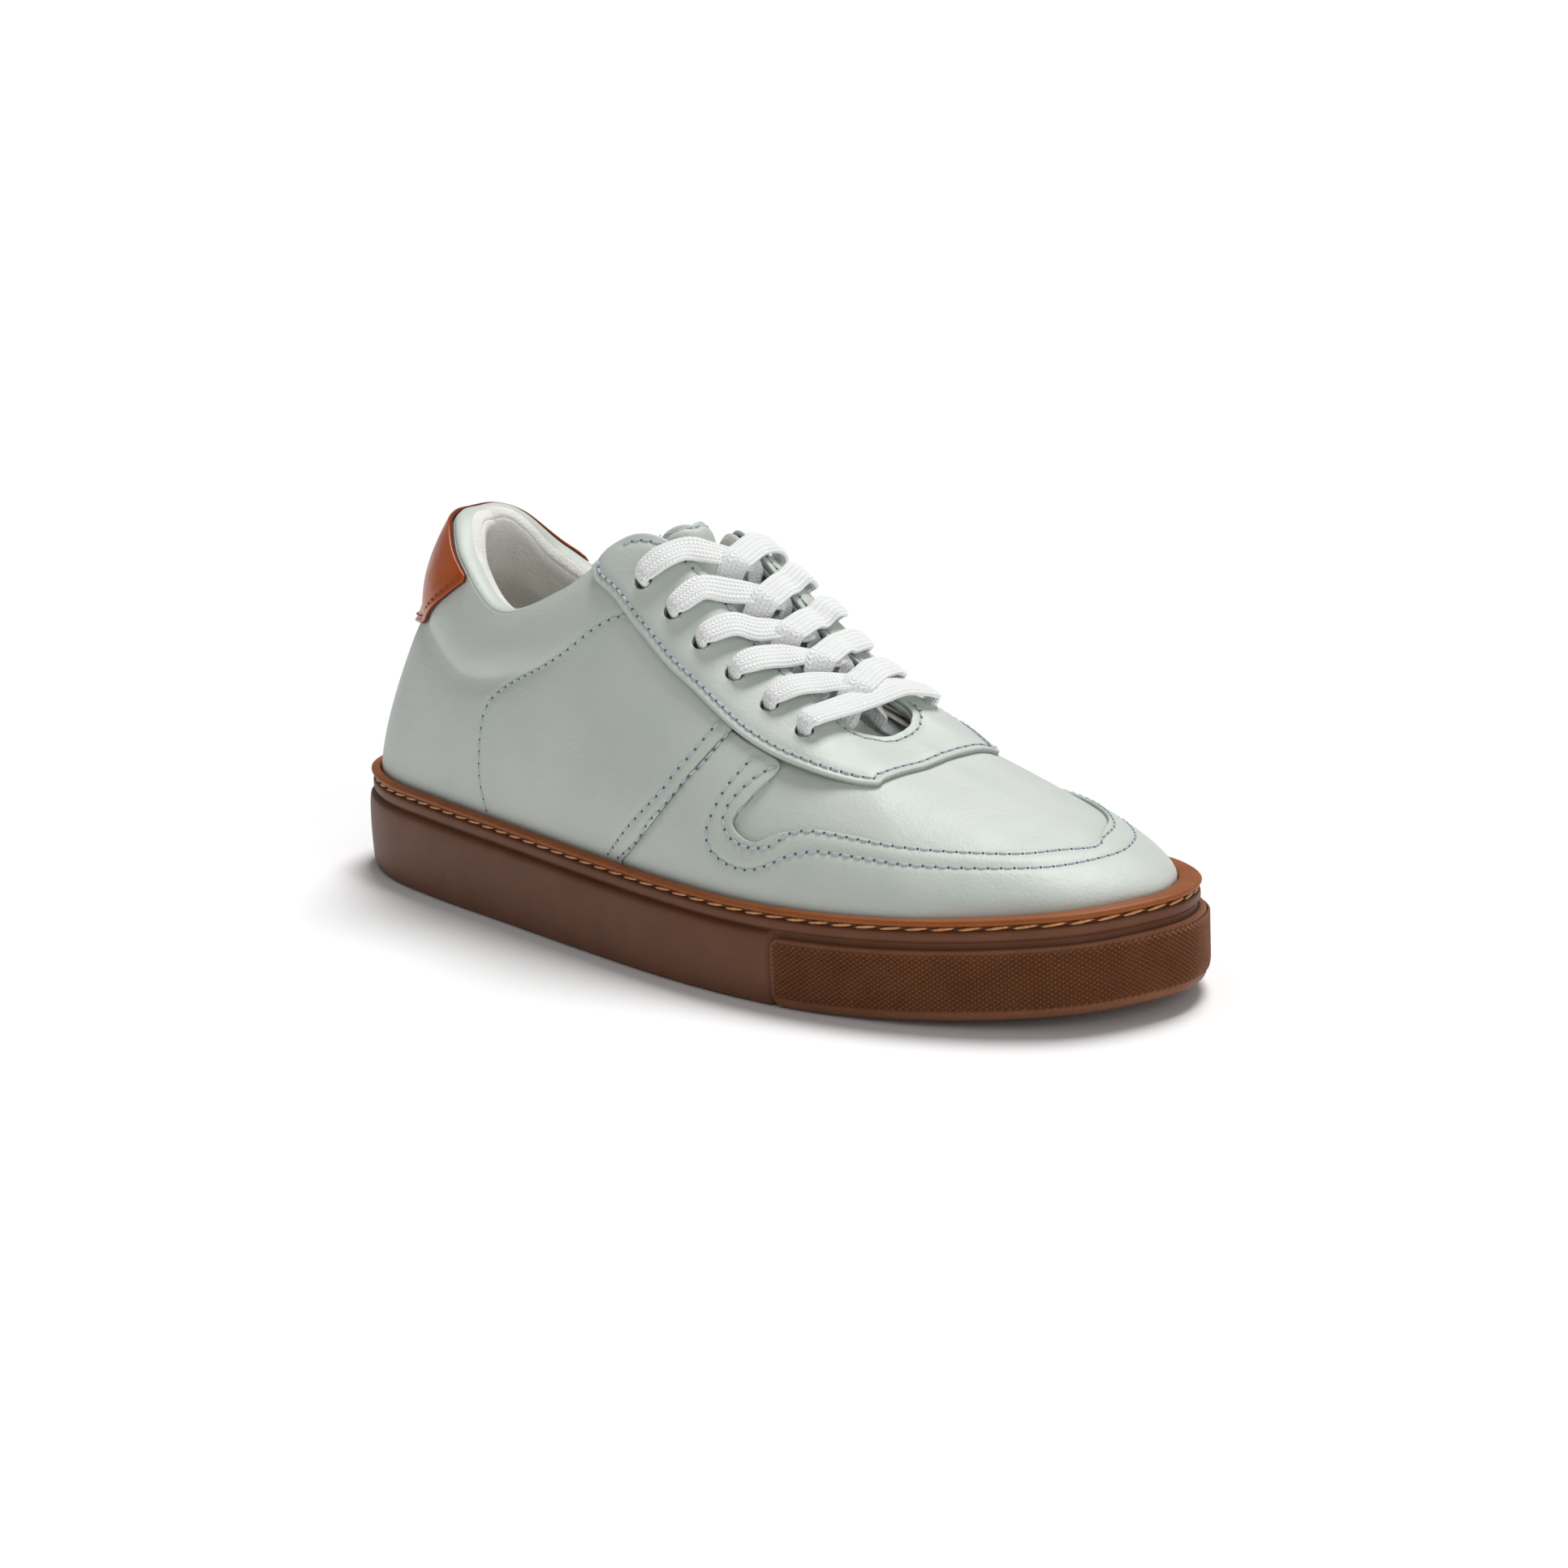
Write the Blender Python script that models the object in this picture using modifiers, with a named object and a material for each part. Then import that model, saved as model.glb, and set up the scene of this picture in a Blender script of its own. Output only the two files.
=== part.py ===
"""Low court shoe, right foot: leather upper on a stitched rubber cup sole.

Toe towards +X, medial side +Y, sole on Z = 0, origin on the ground at mid length.
The upper is one smooth last-shaped surface, called with a place (s, h):
s runs round the shoe in stations, 0 at the heel, 13 at the toe, lateral side first;
h runs from the cup's rim (0) to the top edge (1), and below 0 down inside the cup.
Every layer of the upper is a stretch of that surface at its own depth.
"""
import bpy
import bmesh
import numpy as np
from mathutils import Matrix, Vector

MM = 0.001

# Overall sizes
OUTSOLE_LENGTH = 300 * MM
BALL_WIDTH = 106 * MM
COLLAR_HEIGHT = 104 * MM

# Cup sole
WALL_HEEL = 29.5 * MM
WALL_FORE = 25.9 * MM
TOE_SPRING = 5 * MM
LIP_INSET = 4.3 * MM
TOE_LIP_EXTRA = 3.5 * MM
CUP_DEPTH = 12 * MM
FLOOR_HEIGHT = 7 * MM
THREAD_RADIUS = 0.35 * MM
BUMPER_THICKNESS = 1.4 * MM
BUMPER_START = 8.4

# Sheets and fits
LEATHER = 1.4 * MM
STIFFENER = 0.8 * MM
LINING = 0.8 * MM
GAP = 0.5 * MM
CLEARANCE = 0.3 * MM
LASTING_GAP = 0.8 * MM
COLLAR_PAD = 5.5 * MM
BOARD = 1.4 * MM
FOOTBED = 5 * MM

# Tongue
TONGUE_LEATHER = 1.2 * MM
TONGUE_FOAM = 3.4 * MM
TONGUE_SWING_AT = 218 * MM
TONGUE_LINE_STACK = 5.9 * MM    # thickness of the upper that the tongue's line is drawn under

# Lace
LACE_WIDTH = 8 * MM
LACE_THICKNESS = 1.5 * MM
HOLE_RADIUS = 3.0 * MM
LACE_NECK = 2.8 * MM
AGLET_RADIUS = 1.7 * MM

# Sole outline from the heel round the lateral side: share of the length, share of the width.
OUTLINE = [
    (0.000, 0.000), (0.010, -0.101), (0.040, -0.232), (0.107, -0.338), (0.200, -0.393),
    (0.333, -0.436), (0.467, -0.478), (0.583, -0.506), (0.683, -0.506), (0.773, -0.471),
    (0.860, -0.393), (0.933, -0.275), (0.980, -0.137), (1.000, 0.057), (0.990, 0.198),
    (0.953, 0.330), (0.887, 0.434), (0.793, 0.486), (0.683, 0.491), (0.567, 0.443),
    (0.450, 0.373), (0.333, 0.335), (0.200, 0.340), (0.107, 0.325), (0.040, 0.236),
    (0.010, 0.123),
]

# One rib of the last for each outline point. Top point as shares of length, width and collar
# height, then how far (out, up) in millimetres its curve leaves the rim and reaches the top.
RIBS = [
    ((0.127, 0.000, 1.000), (-4, 24), (4, -12)),
    ((0.137, -0.071, 1.000), (-4, 24), (4, -12)),
    ((0.162, -0.146, 0.981), (-4, 24), (4, -12)),
    ((0.207, -0.226, 0.904), (-2, 24), (6, -12)),
    ((0.283, -0.283, 0.803), (0, 20), (8, -12)),
    ((0.368, -0.259, 0.885), (1, 24), (10, -14)),
    ((0.442, -0.160, 1.032), (2, 26), (14, -12)),
    ((0.502, -0.104, 0.938), (2, 22), (18, -7)),
    ((0.571, -0.104, 0.772), (1, 18), (20, -6)),
    ((0.635, -0.104, 0.684), (0, 15), (20, -7)),
    ((0.680, -0.090, 0.611), (0, 13), (22, -6)),
    ((0.693, -0.047, 0.587), (0, 11), (26, -7)),
    ((0.700, -0.014, 0.582), (-0.5, 9), (29, -9)),
    ((0.702, 0.014, 0.587), (-1, 8), (31, -10)),
    ((0.700, 0.042, 0.591), (-1, 9), (27, -9.5)),
    ((0.695, 0.075, 0.601), (-1, 10), (22, -8)),
    ((0.680, 0.108, 0.630), (-1, 11), (17, -8)),
    ((0.635, 0.104, 0.684), (-1, 12), (14, -8)),
    ((0.571, 0.104, 0.769), (0, 17), (15, -8)),
    ((0.502, 0.104, 0.923), (1, 22), (15, -7)),
    ((0.440, 0.156, 0.990), (1, 26), (12, -11)),
    ((0.363, 0.264, 0.875), (1, 24), (9, -13)),
    ((0.240, 0.274, 0.784), (0, 20), (7, -12)),
    ((0.173, 0.217, 0.865), (-2, 24), (6, -12)),
    ((0.145, 0.137, 0.966), (-4, 24), (4, -12)),
    ((0.132, 0.071, 1.000), (-4, 24), (4, -12)),
]
ROUND = len(OUTLINE)

# Seam lines on the lateral side as (s, h); the medial side mirrors s to ROUND - s.
EYESTAY_EDGE = [(5.5, 0.95), (5.7, 0.82), (6.15, 0.69), (6.8, 0.60), (7.6, 0.57), (8.5, 0.57),
                (9.33, 0.59), (10.1, 0.69), (11.0, 0.79), (13.0, 0.835)]
EYESTAY_TOP = [(5.62, 1.0), (6.0, 1.0), (6.5, 1.0), (7.0, 1.0), (7.7, 1.0), (8.5, 1.0),
               (9.3, 1.0), (10.1, 1.0), (11.0, 1.0), (13.0, 1.0)]
QUARTER_FRONT = [(6.36, -1.0), (6.36, 0.0), (7.75, 0.57), (8.1, 1.0)]
WINDOW_EDGE = [(8.45, 0.56), (8.05, 0.39), (7.83, 0.28), (8.1, 0.24), (8.55, 0.32), (9.2, 0.375),
               (10.5, 0.37), (11.8, 0.385), (13.0, 0.37)]
TAB_EDGE = [(0.0, 0.50), (1.0, 0.50), (2.0, 0.53), (2.7, 0.61), (3.1, 0.78), (3.3, 0.97)]
HOLES = [(8.85, 0.73), (8.28, 0.745), (7.7, 0.74), (7.2, 0.73), (6.75, 0.755), (6.28, 0.80)]

# Tongue: middle line (x, z), half width and sag of its sides, in millimetres from the heel
TONGUE_LINE = [(226, 45.6), (210, 51), (192, 58), (172, 71.4), (150, 88), (141.5, 97.5), (135.5, 110)]
TONGUE_HALF = [12, 15, 16, 16, 15, 13.5, 11.5]
TONGUE_SAG = [3, 5, 7, 9.5, 11.5, 10.5, 7]

for old in list(bpy.data.objects):
    bpy.data.objects.remove(old)
shoe = bpy.data.collections.new("court_shoe")
cutters = bpy.data.collections.new("cutters")
bpy.context.scene.collection.children.link(shoe)
bpy.context.scene.collection.children.link(cutters)


def along(points, t, closed=False):
    """Catmull-Rom curve through points at t, counted in points."""
    points = np.asarray(points, float)
    t = np.asarray(t, float)
    count = len(points)
    if closed:
        t = t % count
        start = np.floor(t).astype(int)
        near = [points[(start + k) % count] for k in (-1, 0, 1, 2)]
    else:
        t = np.clip(t, 0, count - 1)
        start = np.minimum(np.floor(t).astype(int), count - 2)
        near = [points[np.clip(start + k, 0, count - 1)] for k in (-1, 0, 1, 2)]
    u = t - start
    if points.ndim > 1:
        u = u[..., None]
    a, b, c, d = near
    return 0.5 * (2 * b + (c - a) * u + (2 * a - 5 * b + 4 * c - d) * u ** 2
                  + (3 * b - a - 3 * c + d) * u ** 3)


def plan(s, inset):
    """Sole outline at station s, moved in by inset."""
    scale = np.array([OUTSOLE_LENGTH, BALL_WIDTH])
    step = 0.02
    here = along(OUTLINE, s, True) * scale
    way = (along(OUTLINE, np.asarray(s) + step, True) - along(OUTLINE, np.asarray(s) - step, True)) * scale
    way /= np.linalg.norm(way, axis=-1)[..., None]
    inward = np.stack([-way[..., 1], way[..., 0]], -1)
    return here + inward * np.asarray(inset)[..., None] - np.array([OUTSOLE_LENGTH / 2, 0])


def lift(x):
    """Height of the outsole's underside: flat, then rising at the toe."""
    share = np.clip((x / OUTSOLE_LENGTH + 0.5 - 0.683) / 0.317, 0, 1)
    return TOE_SPRING * share ** 2


def wall(x):
    """Height of the side wall."""
    share = np.clip((x / OUTSOLE_LENGTH + 0.5 - 0.2) / 0.467, 0, 1)
    return WALL_HEEL + (WALL_FORE - WALL_HEEL) * share


def lip_inset(s):
    """How far inside the outline the upper meets the lip."""
    share = along(OUTLINE, s, True)[..., 0]
    return LIP_INSET + TOE_LIP_EXTRA * np.clip((share - 0.85) / 0.133, 0, 1)


def last(s, h):
    """The upper's outside at (s, h)."""
    s, h = np.broadcast_arrays(np.asarray(s, float), np.asarray(h, float))
    rim_plan = plan(s, lip_inset(s))
    x = rim_plan[..., 0]
    rim = np.concatenate([rim_plan, (lift(x) + wall(x))[..., None]], -1)
    size = np.array([OUTSOLE_LENGTH, BALL_WIDTH, COLLAR_HEIGHT])
    top = along([r[0] for r in RIBS], s, True) * size - np.array([OUTSOLE_LENGTH / 2, 0, 0])
    low = along([r[1] for r in RIBS], s, True) * MM
    high = along([r[2] for r in RIBS], s, True) * MM
    out = rim[..., :2] - top[..., :2]
    out /= np.linalg.norm(out, axis=-1)[..., None]
    a = rim + np.concatenate([out * low[..., :1], low[..., 1:]], -1)
    b = top + np.concatenate([out * high[..., :1], high[..., 1:]], -1)
    k = np.clip(h, 0, 1)[..., None]
    point = rim * (1 - k) ** 3 + 3 * a * k * (1 - k) ** 2 + 3 * b * k ** 2 * (1 - k) + top * k ** 3
    point[..., 2] += np.minimum(h, 0) * (CUP_DEPTH - CLEARANCE)
    return point


def outward(s, h):
    """Outward normal of the last at (s, h)."""
    step = 0.02
    above = np.where(np.asarray(h) > 0, np.minimum(h, 1 - step), h)
    across = last(s + step, above) - last(s - step, above)
    up = last(s, above + step) - last(s, above - step)
    normal = np.cross(across, up)
    return normal / np.linalg.norm(normal, axis=-1)[..., None]


def at_depth(s, h, depth):
    """A point of a layer whose outside lies depth under the last."""
    s, h = np.broadcast_arrays(np.asarray(s, float), np.asarray(h, float))
    return last(s, h) - outward(s, h) * np.asarray(depth)[..., None]


def paint(obj, colour, roughness, metallic=0.0):
    material = bpy.data.materials.new(obj.name)
    material.use_nodes = True
    shader = material.node_tree.nodes["Principled BSDF"]
    shader.inputs["Base Color"].default_value = (*colour, 1)
    shader.inputs["Roughness"].default_value = roughness
    shader.inputs["Metallic"].default_value = metallic
    obj.data.materials.append(material)


def new_object(name, points, faces, finish):
    mesh = bpy.data.meshes.new(name)
    mesh.from_pydata([tuple(p) for p in points], [], faces)
    mesh.shade_smooth()
    obj = bpy.data.objects.new(name, mesh)
    shoe.objects.link(obj)
    paint(obj, *finish)
    return obj


def grid_faces(rows, columns, wrap=False):
    faces = []
    for i in range(rows if wrap else rows - 1):
        for j in range(columns - 1):
            a = i * columns + j
            b = (i + 1) % rows * columns + j
            faces.append((a, b, b + 1, a + 1))
    return faces


def sheet(name, points, thickness, finish, wrap=False):
    """An open grid of outside points given a thickness inwards."""
    rows, columns = points.shape[:2]
    obj = new_object(name, points.reshape(-1, 3), grid_faces(rows, columns, wrap), finish)
    solid = obj.modifiers.new("thickness", "SOLIDIFY")
    solid.thickness = thickness
    solid.offset = -1
    solid.use_even_offset = False
    return obj


def patch(low, high, rows, columns):
    """Grid of (s, h) between a low and a high seam line, each a list of (s, h)."""
    u = np.linspace(0, 1, rows)[:, None]
    v = np.linspace(0, 1, columns)[None, :, None]
    below = along(low, u[:, 0] * (len(low) - 1))[:, None]
    over = along(high, u[:, 0] * (len(high) - 1))[:, None]
    return below + (over - below) * v


def both_sides(line):
    """A lateral line that ends at the toe, carried on to the medial side."""
    return line + [(ROUND - s, h) for s, h in reversed(line[:-1])]


def medial(line):
    return [(ROUND - s, h) for s, h in line]


def across(count, first):
    """Faces that fill a ring of mirrored stations with strips from side to side."""
    half = count // 2
    faces = [(first, first + 1, first + count - 1)]
    for j in range(1, half - 1):
        faces.append((first + j, first + j + 1, first + count - j - 1, first + count - j))
    faces.append((first + half - 1, first + half, first + half + 1))
    return faces


def loft(name, rings, finish, ends="plain"):
    """A closed body through rings of points. Its ends are plain faces, strips across, or joined."""
    count = len(rings[0])
    points = np.concatenate(rings)
    faces = []
    for i in range(len(rings) - 1):
        for j in range(count):
            k = (j + 1) % count
            faces.append((i * count + j, i * count + k, (i + 1) * count + k, (i + 1) * count + j))
    tail = (len(rings) - 1) * count
    if ends == "plain":
        faces.append(tuple(reversed(range(count))))
        faces.append(tuple(tail + j for j in range(count)))
    elif ends == "strips":
        faces += across(count, 0) + across(count, tail)
    else:
        for j in range(count):
            k = (j + 1) % count
            faces.append((tail + j, tail + k, k, j))
    obj = new_object(name, points, faces, finish)
    work = bmesh.new()
    work.from_mesh(obj.data)
    bmesh.ops.recalc_face_normals(work, faces=work.faces)
    work.to_mesh(obj.data)
    work.free()
    return obj


# Finishes: linear colour, roughness
WHITE_LEATHER = ((0.70, 0.74, 0.70), 0.5)
WHITE_TEXTILE = ((0.74, 0.73, 0.70), 0.9)
TAN_LEATHER = ((0.47, 0.13, 0.02), 0.3)
GUM = ((0.17, 0.06, 0.025), 0.5)
GUM_LIGHT = ((0.30, 0.10, 0.03), 0.5)
FOAM = ((0.60, 0.55, 0.42), 0.9)
BOARD_FINISH = ((0.62, 0.60, 0.55), 0.9)
THREAD = ((0.58, 0.30, 0.14), 0.7)
CLEAR_TIP = ((0.70, 0.70, 0.70), 0.3)


# Cup sole
def stations(count, breaks=()):
    """Stations spread by length along the lateral side, with extra ones at breaks, then mirrored."""
    fine = np.linspace(0, ROUND / 2, 781)
    spots = plan(fine, np.zeros_like(fine))
    run = np.concatenate([[0], np.cumsum(np.linalg.norm(np.diff(spots, axis=0), axis=1))])
    even = np.interp(np.linspace(0, run[-1], count // 2 + 1), run, fine)
    side = np.sort(np.concatenate([even, breaks]))
    return np.concatenate([side, ROUND - side[-2:0:-1]])


def in_bumper(s):
    return np.minimum(s, ROUND - s) > BUMPER_START


def ring(s, inset, height):
    """A ring of points; height is a function of x."""
    spot = plan(s, np.broadcast_to(inset, s.shape))
    return np.concatenate([spot, height(spot[:, 0])[:, None]], -1)


STEP = 0.03
STATION_SPACING = 9.375 * MM
CUP_STATIONS = 2 * round(OUTSOLE_LENGTH / STATION_SPACING)
cup_s = stations(CUP_STATIONS, [BUMPER_START - STEP, BUMPER_START + STEP])
recess = np.where(in_bumper(cup_s), BUMPER_THICKNESS + CLEARANCE, 0)
BAND_TOP = 0.735
GROOVE_LOW = 0.885
GROOVE_HIGH = 0.93
UPPER_STACK = LEATHER * 2 + STIFFENER + LINING + GAP * 3
BOARD_GAP = 0.6 * MM
FILLER_EDGE = 11 * MM


def on_wall(share):
    return lambda x: lift(x) + wall(x) * share


def over_floor(height):
    return lambda x: lift(x) + height


def below_rim(depth):
    return lambda x: lift(x) + wall(x) - depth


inside = lip_inset(cup_s)
cup_rings = [
    ring(cup_s, 12 * MM, over_floor(0)),
    ring(cup_s, 2.2 * MM + recess, over_floor(0)),
    ring(cup_s, 0.9 * MM + recess, over_floor(1.3 * MM)),
    ring(cup_s, 0.2 * MM + recess, on_wall(0.25)),
    ring(cup_s, 0.2 * MM + recess, on_wall(0.62)),
    ring(cup_s, 0.8 * MM + recess, on_wall(BAND_TOP)),
    ring(cup_s, 2.3 * MM, on_wall(BAND_TOP + 0.025)),
    ring(cup_s, 1.7 * MM, on_wall(0.79)),
    ring(cup_s, 1.7 * MM, on_wall(GROOVE_LOW - 0.012)),
    ring(cup_s, 2.7 * MM, on_wall(GROOVE_LOW)),
    ring(cup_s, 2.7 * MM, on_wall(GROOVE_HIGH)),
    ring(cup_s, 1.6 * MM, on_wall(0.945)),
    ring(cup_s, 1.9 * MM, on_wall(0.985)),
    ring(cup_s, 2.8 * MM, on_wall(1.0)),
    ring(cup_s, inside - LASTING_GAP - CLEARANCE, on_wall(0.985)),
    ring(cup_s, inside - LASTING_GAP, on_wall(0.95)),
    ring(cup_s, inside - LASTING_GAP, below_rim(CUP_DEPTH)),
    ring(cup_s, inside + FILLER_EDGE - CLEARANCE, below_rim(CUP_DEPTH)),
    ring(cup_s, inside + FILLER_EDGE, over_floor(FLOOR_HEIGHT)),
]
loft("cupsole", cup_rings, GUM, ends="strips")

thread_s = stations(CUP_STATIONS)
thread_rings = []
THREAD_SIDES = 4
for k in range(THREAD_SIDES):
    angle = 2 * np.pi * k / THREAD_SIDES
    middle = 2.7 * MM - CLEARANCE - THREAD_RADIUS
    rise = THREAD_RADIUS * np.sin(angle)
    spot = ring(thread_s, middle - THREAD_RADIUS * np.cos(angle), on_wall((GROOVE_LOW + GROOVE_HIGH) / 2))
    spot[:, 2] += rise
    thread_rings.append(spot)
loft("sidewall_thread", thread_rings, THREAD, ends="joined")

bumper_s = np.linspace(BUMPER_START + 2 * STEP, ROUND - BUMPER_START - 2 * STEP, 36)
bumper_profile = [
    (2.2 * MM, over_floor(0.6 * MM)), (0.5 * MM, over_floor(1.2 * MM)), (0.0, on_wall(0.25)),
    (0.0, on_wall(0.60)), (0.7 * MM, on_wall(BAND_TOP - 0.03)),
    (0.8 * MM + BUMPER_THICKNESS - CLEARANCE, on_wall(BAND_TOP - 0.02)),
    (0.2 * MM + BUMPER_THICKNESS, on_wall(0.62)), (0.2 * MM + BUMPER_THICKNESS, on_wall(0.25)),
    (0.9 * MM + BUMPER_THICKNESS, over_floor(1.5 * MM)), (1.0 * MM + BUMPER_THICKNESS, over_floor(1.2 * MM)),
]
bumper_grid = np.stack([ring(bumper_s, inset, height) for inset, height in bumper_profile], 1)
loft("toe_bumper", list(bumper_grid), GUM_LIGHT)


def plate(name, inset, low, high, count, finish):
    """A flat sheet that follows the outline at inset, between two heights."""
    s = stations(count)
    edge = lip_inset(s) + inset
    return loft(name, [ring(s, edge, low), ring(s, edge, high)], finish, ends="strips")


plate("midsole_foam", FILLER_EDGE + 0.7 * MM, over_floor(FLOOR_HEIGHT + CLEARANCE),
      below_rim(CUP_DEPTH - CLEARANCE), 48, FOAM)
board_low = CUP_DEPTH - 2 * CLEARANCE
plate("strobel_board", UPPER_STACK + BOARD_GAP, below_rim(board_low), below_rim(board_low - BOARD), 56,
      BOARD_FINISH)
bed_low = board_low - BOARD - CLEARANCE
plate("footbed", UPPER_STACK + BOARD_GAP + 0.4 * MM, below_rim(bed_low), below_rim(bed_low - FOOTBED), 56,
      WHITE_TEXTILE)

# Depths of the layers under the last
UNDERLAY = LEATHER + GAP
STIFF_DEPTH = UNDERLAY
LINING_DEPTH = STIFF_DEPTH + STIFFENER + GAP
FORE_STIFF = UNDERLAY + LEATHER + GAP
FORE_LINING = FORE_STIFF + STIFFENER + GAP


def pad(s, h):
    """Thickness of the collar's padding: full round the heel, none at the instep."""
    near = np.minimum(s % ROUND, ROUND - s % ROUND)
    round_heel = np.clip((5.6 - near) / 1.2, 0, 1)
    up = np.clip((h - 0.5) / 0.25, 0, 1) * np.clip((1.08 - h) / 0.12, 0, 1)
    return COLLAR_PAD * round_heel * (up * up * (3 - 2 * up))


SIDES = {"lateral": (lambda line: line), "medial": medial}

QUARTER_SPACING = 15 * MM
for side in SIDES:
    front = QUARTER_FRONT
    rows = np.linspace(0.04, 1, 1 + round(OUTSOLE_LENGTH / QUARTER_SPACING))
    heights = np.array([-1, 0, 0.15, 0.3, 0.44, 0.57, 0.72, 0.86, 1.0])
    edge_s = np.interp(heights, [p[1] for p in front], [p[0] for p in front])
    s_grid = rows[:, None] * edge_s[None, :]
    h_grid = np.broadcast_to(heights, s_grid.shape)
    if side == "medial":
        s_grid = ROUND - s_grid[::-1]
    sheet("quarter_" + side, at_depth(s_grid, h_grid, 0), LEATHER, WHITE_LEATHER)

# Forefoot overlay with its window over the toe box; its rear edges run in under the quarters
(_, _), (SEAM_FOOT, _), (SEAM_TOP, SEAM_TOP_H), (_, _) = QUARTER_FRONT
LAP_DEPTH = UNDERLAY + 0.3 * MM
LAP_STEPS = [(-0.42, LAP_DEPTH), (-0.18, LAP_DEPTH), (0.05, LAP_DEPTH), (0.25, 0.0)]
lap_tops = [(SEAM_TOP + step, SEAM_TOP_H) for step, _ in LAP_STEPS]
lap_lows = [SEAM_FOOT + step for step, _ in LAP_STEPS]
front_u = np.linspace(0, 1, 26)[1:]
front_tops = along([lap_tops[-1]] + WINDOW_EDGE, front_u * len(WINDOW_EDGE))
LOW_STATIONS = [lap_lows[-1], 6.85, 7.05, 7.3, 7.75, 8.4, 9.3, 10.6, 11.8, 13.0]
front_lows = along(LOW_STATIONS, front_u * (len(LOW_STATIONS) - 1))
lateral_tops = lap_tops + [tuple(top) for top in front_tops]
lateral_lows = lap_lows + list(front_lows)
depths = [depth for _, depth in LAP_STEPS] + [0.0] * len(front_lows)
overlay_tops = np.array(both_sides(lateral_tops))
overlay_lows = np.array(lateral_lows + [ROUND - low for low in reversed(lateral_lows[:-1])])
overlay_depths = np.array(depths + list(reversed(depths[:-1])))
shares = np.array([0, 0.2, 0.4, 0.6, 0.8, 1.0])
overlay_s = overlay_lows[:, None] + (overlay_tops[:, :1] - overlay_lows[:, None]) * shares
overlay_h = overlay_tops[:, 1:] * shares
overlay_s = np.concatenate([overlay_s[:, :1], overlay_s], 1)
overlay_h = np.concatenate([overlay_h[:, :1] - 1.0, overlay_h], 1)
sheet("forefoot_overlay", at_depth(overlay_s, overlay_h, overlay_depths[:, None] + 0 * overlay_s), LEATHER,
      WHITE_LEATHER)

# Vamp: toe box under the window, carried up under the eyestay to the throat
vamp_rows = np.linspace(0, 1, 31)
vamp_h = np.array([0.12, 0.26, 0.42, 0.58, 0.74, 0.88, 1.0])
vamp_s = np.interp(vamp_h, [p[1] for p in QUARTER_FRONT], [p[0] for p in QUARTER_FRONT]) + 0.36
vamp_grid = vamp_s[None, :] + (ROUND - 2 * vamp_s)[None, :] * vamp_rows[:, None]
sheet("vamp", at_depth(vamp_grid, np.broadcast_to(vamp_h, vamp_grid.shape), UNDERLAY), LEATHER, WHITE_LEATHER)

# Eyestay
eyestay = patch(both_sides(EYESTAY_EDGE), both_sides(EYESTAY_TOP), 45, 4)
sheet("eyestay", at_depth(eyestay[..., 0], eyestay[..., 1], -(LEATHER + GAP)), LEATHER, WHITE_LEATHER)

# Heel tab
tab_side = [(s, h) for s, h in TAB_EDGE]
tab_low = [(-s, h) for s, h in reversed(tab_side[1:])] + tab_side
tab_top = [(s * 0.985, 1.0) for s, h in tab_low]
tab = patch(tab_low, tab_top, 19, 5)
sheet("heel_tab", at_depth(tab[..., 0], tab[..., 1], -(LEATHER + GAP)), LEATHER, TAN_LEATHER)


def layer(name, s_from, s_to, rows, heights, depth, thickness, finish):
    s = np.linspace(s_from, s_to, rows)[:, None]
    h = np.asarray(heights)[None, :]
    s, h = np.broadcast_arrays(s, h)
    under = depth(s, h) if callable(depth) else np.broadcast_to(depth, s.shape)
    return sheet(name, at_depth(s, h, under), thickness, finish)


# Stiffeners and linings
layer("heel_counter", -3.8, 3.8, 25, [-0.9, 0, 0.15, 0.3, 0.42], STIFF_DEPTH, STIFFENER, BOARD_FINISH)
layer("toe_puff", 9.6, 16.4, 21, [-0.9, 0, 0.12, 0.26, 0.38], FORE_STIFF + 0.1 * MM, STIFFENER, BOARD_FINISH)
for side, turn in SIDES.items():
    strip = patch(turn([(6.15, 0.72), (6.8, 0.65), (7.6, 0.63), (8.5, 0.64), (9.2, 0.66)]),
                  turn([(6.15, 0.99), (6.8, 0.99), (7.6, 0.99), (8.5, 0.99), (9.2, 0.99)]), 15, 3)
    if side == "medial":
        strip = strip[::-1]
    sheet("eyestay_reinforcement_" + side, at_depth(strip[..., 0], strip[..., 1], FORE_STIFF - 0.15 * MM),
          STIFFENER, BOARD_FINISH)
lining_h = [-0.95, 0, 0.2, 0.4, 0.52, 0.64, 0.76, 0.88, 1.0]
LINING_END = 5.85
LINING_ROWS = 35
layer("quarter_lining", -LINING_END, LINING_END, LINING_ROWS, lining_h,
      lambda s, h: LINING_DEPTH + pad(s, h), LINING, WHITE_TEXTILE)
layer("vamp_lining", 6.02, ROUND - 6.02, 35, [-0.95, 0, 0.2, 0.4, 0.6, 0.8, 0.96],
      FORE_LINING, LINING, WHITE_TEXTILE)

# Collar padding between the quarters and the lining
pad_s = np.linspace(-LINING_END, LINING_END, LINING_ROWS)[2:-2]
pad_h = np.array(lining_h[5:8])
s_pad, h_pad = np.meshgrid(pad_s, pad_h, indexing="ij")
pad_out = at_depth(s_pad, h_pad, UNDERLAY)
pad_in = at_depth(s_pad, h_pad, LINING_DEPTH + pad(s_pad, h_pad) - GAP)
pad_sections = [np.concatenate([pad_out[i], pad_in[i][::-1]]) for i in range(len(pad_s))]
loft("collar_padding", pad_sections, FOAM)


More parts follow.
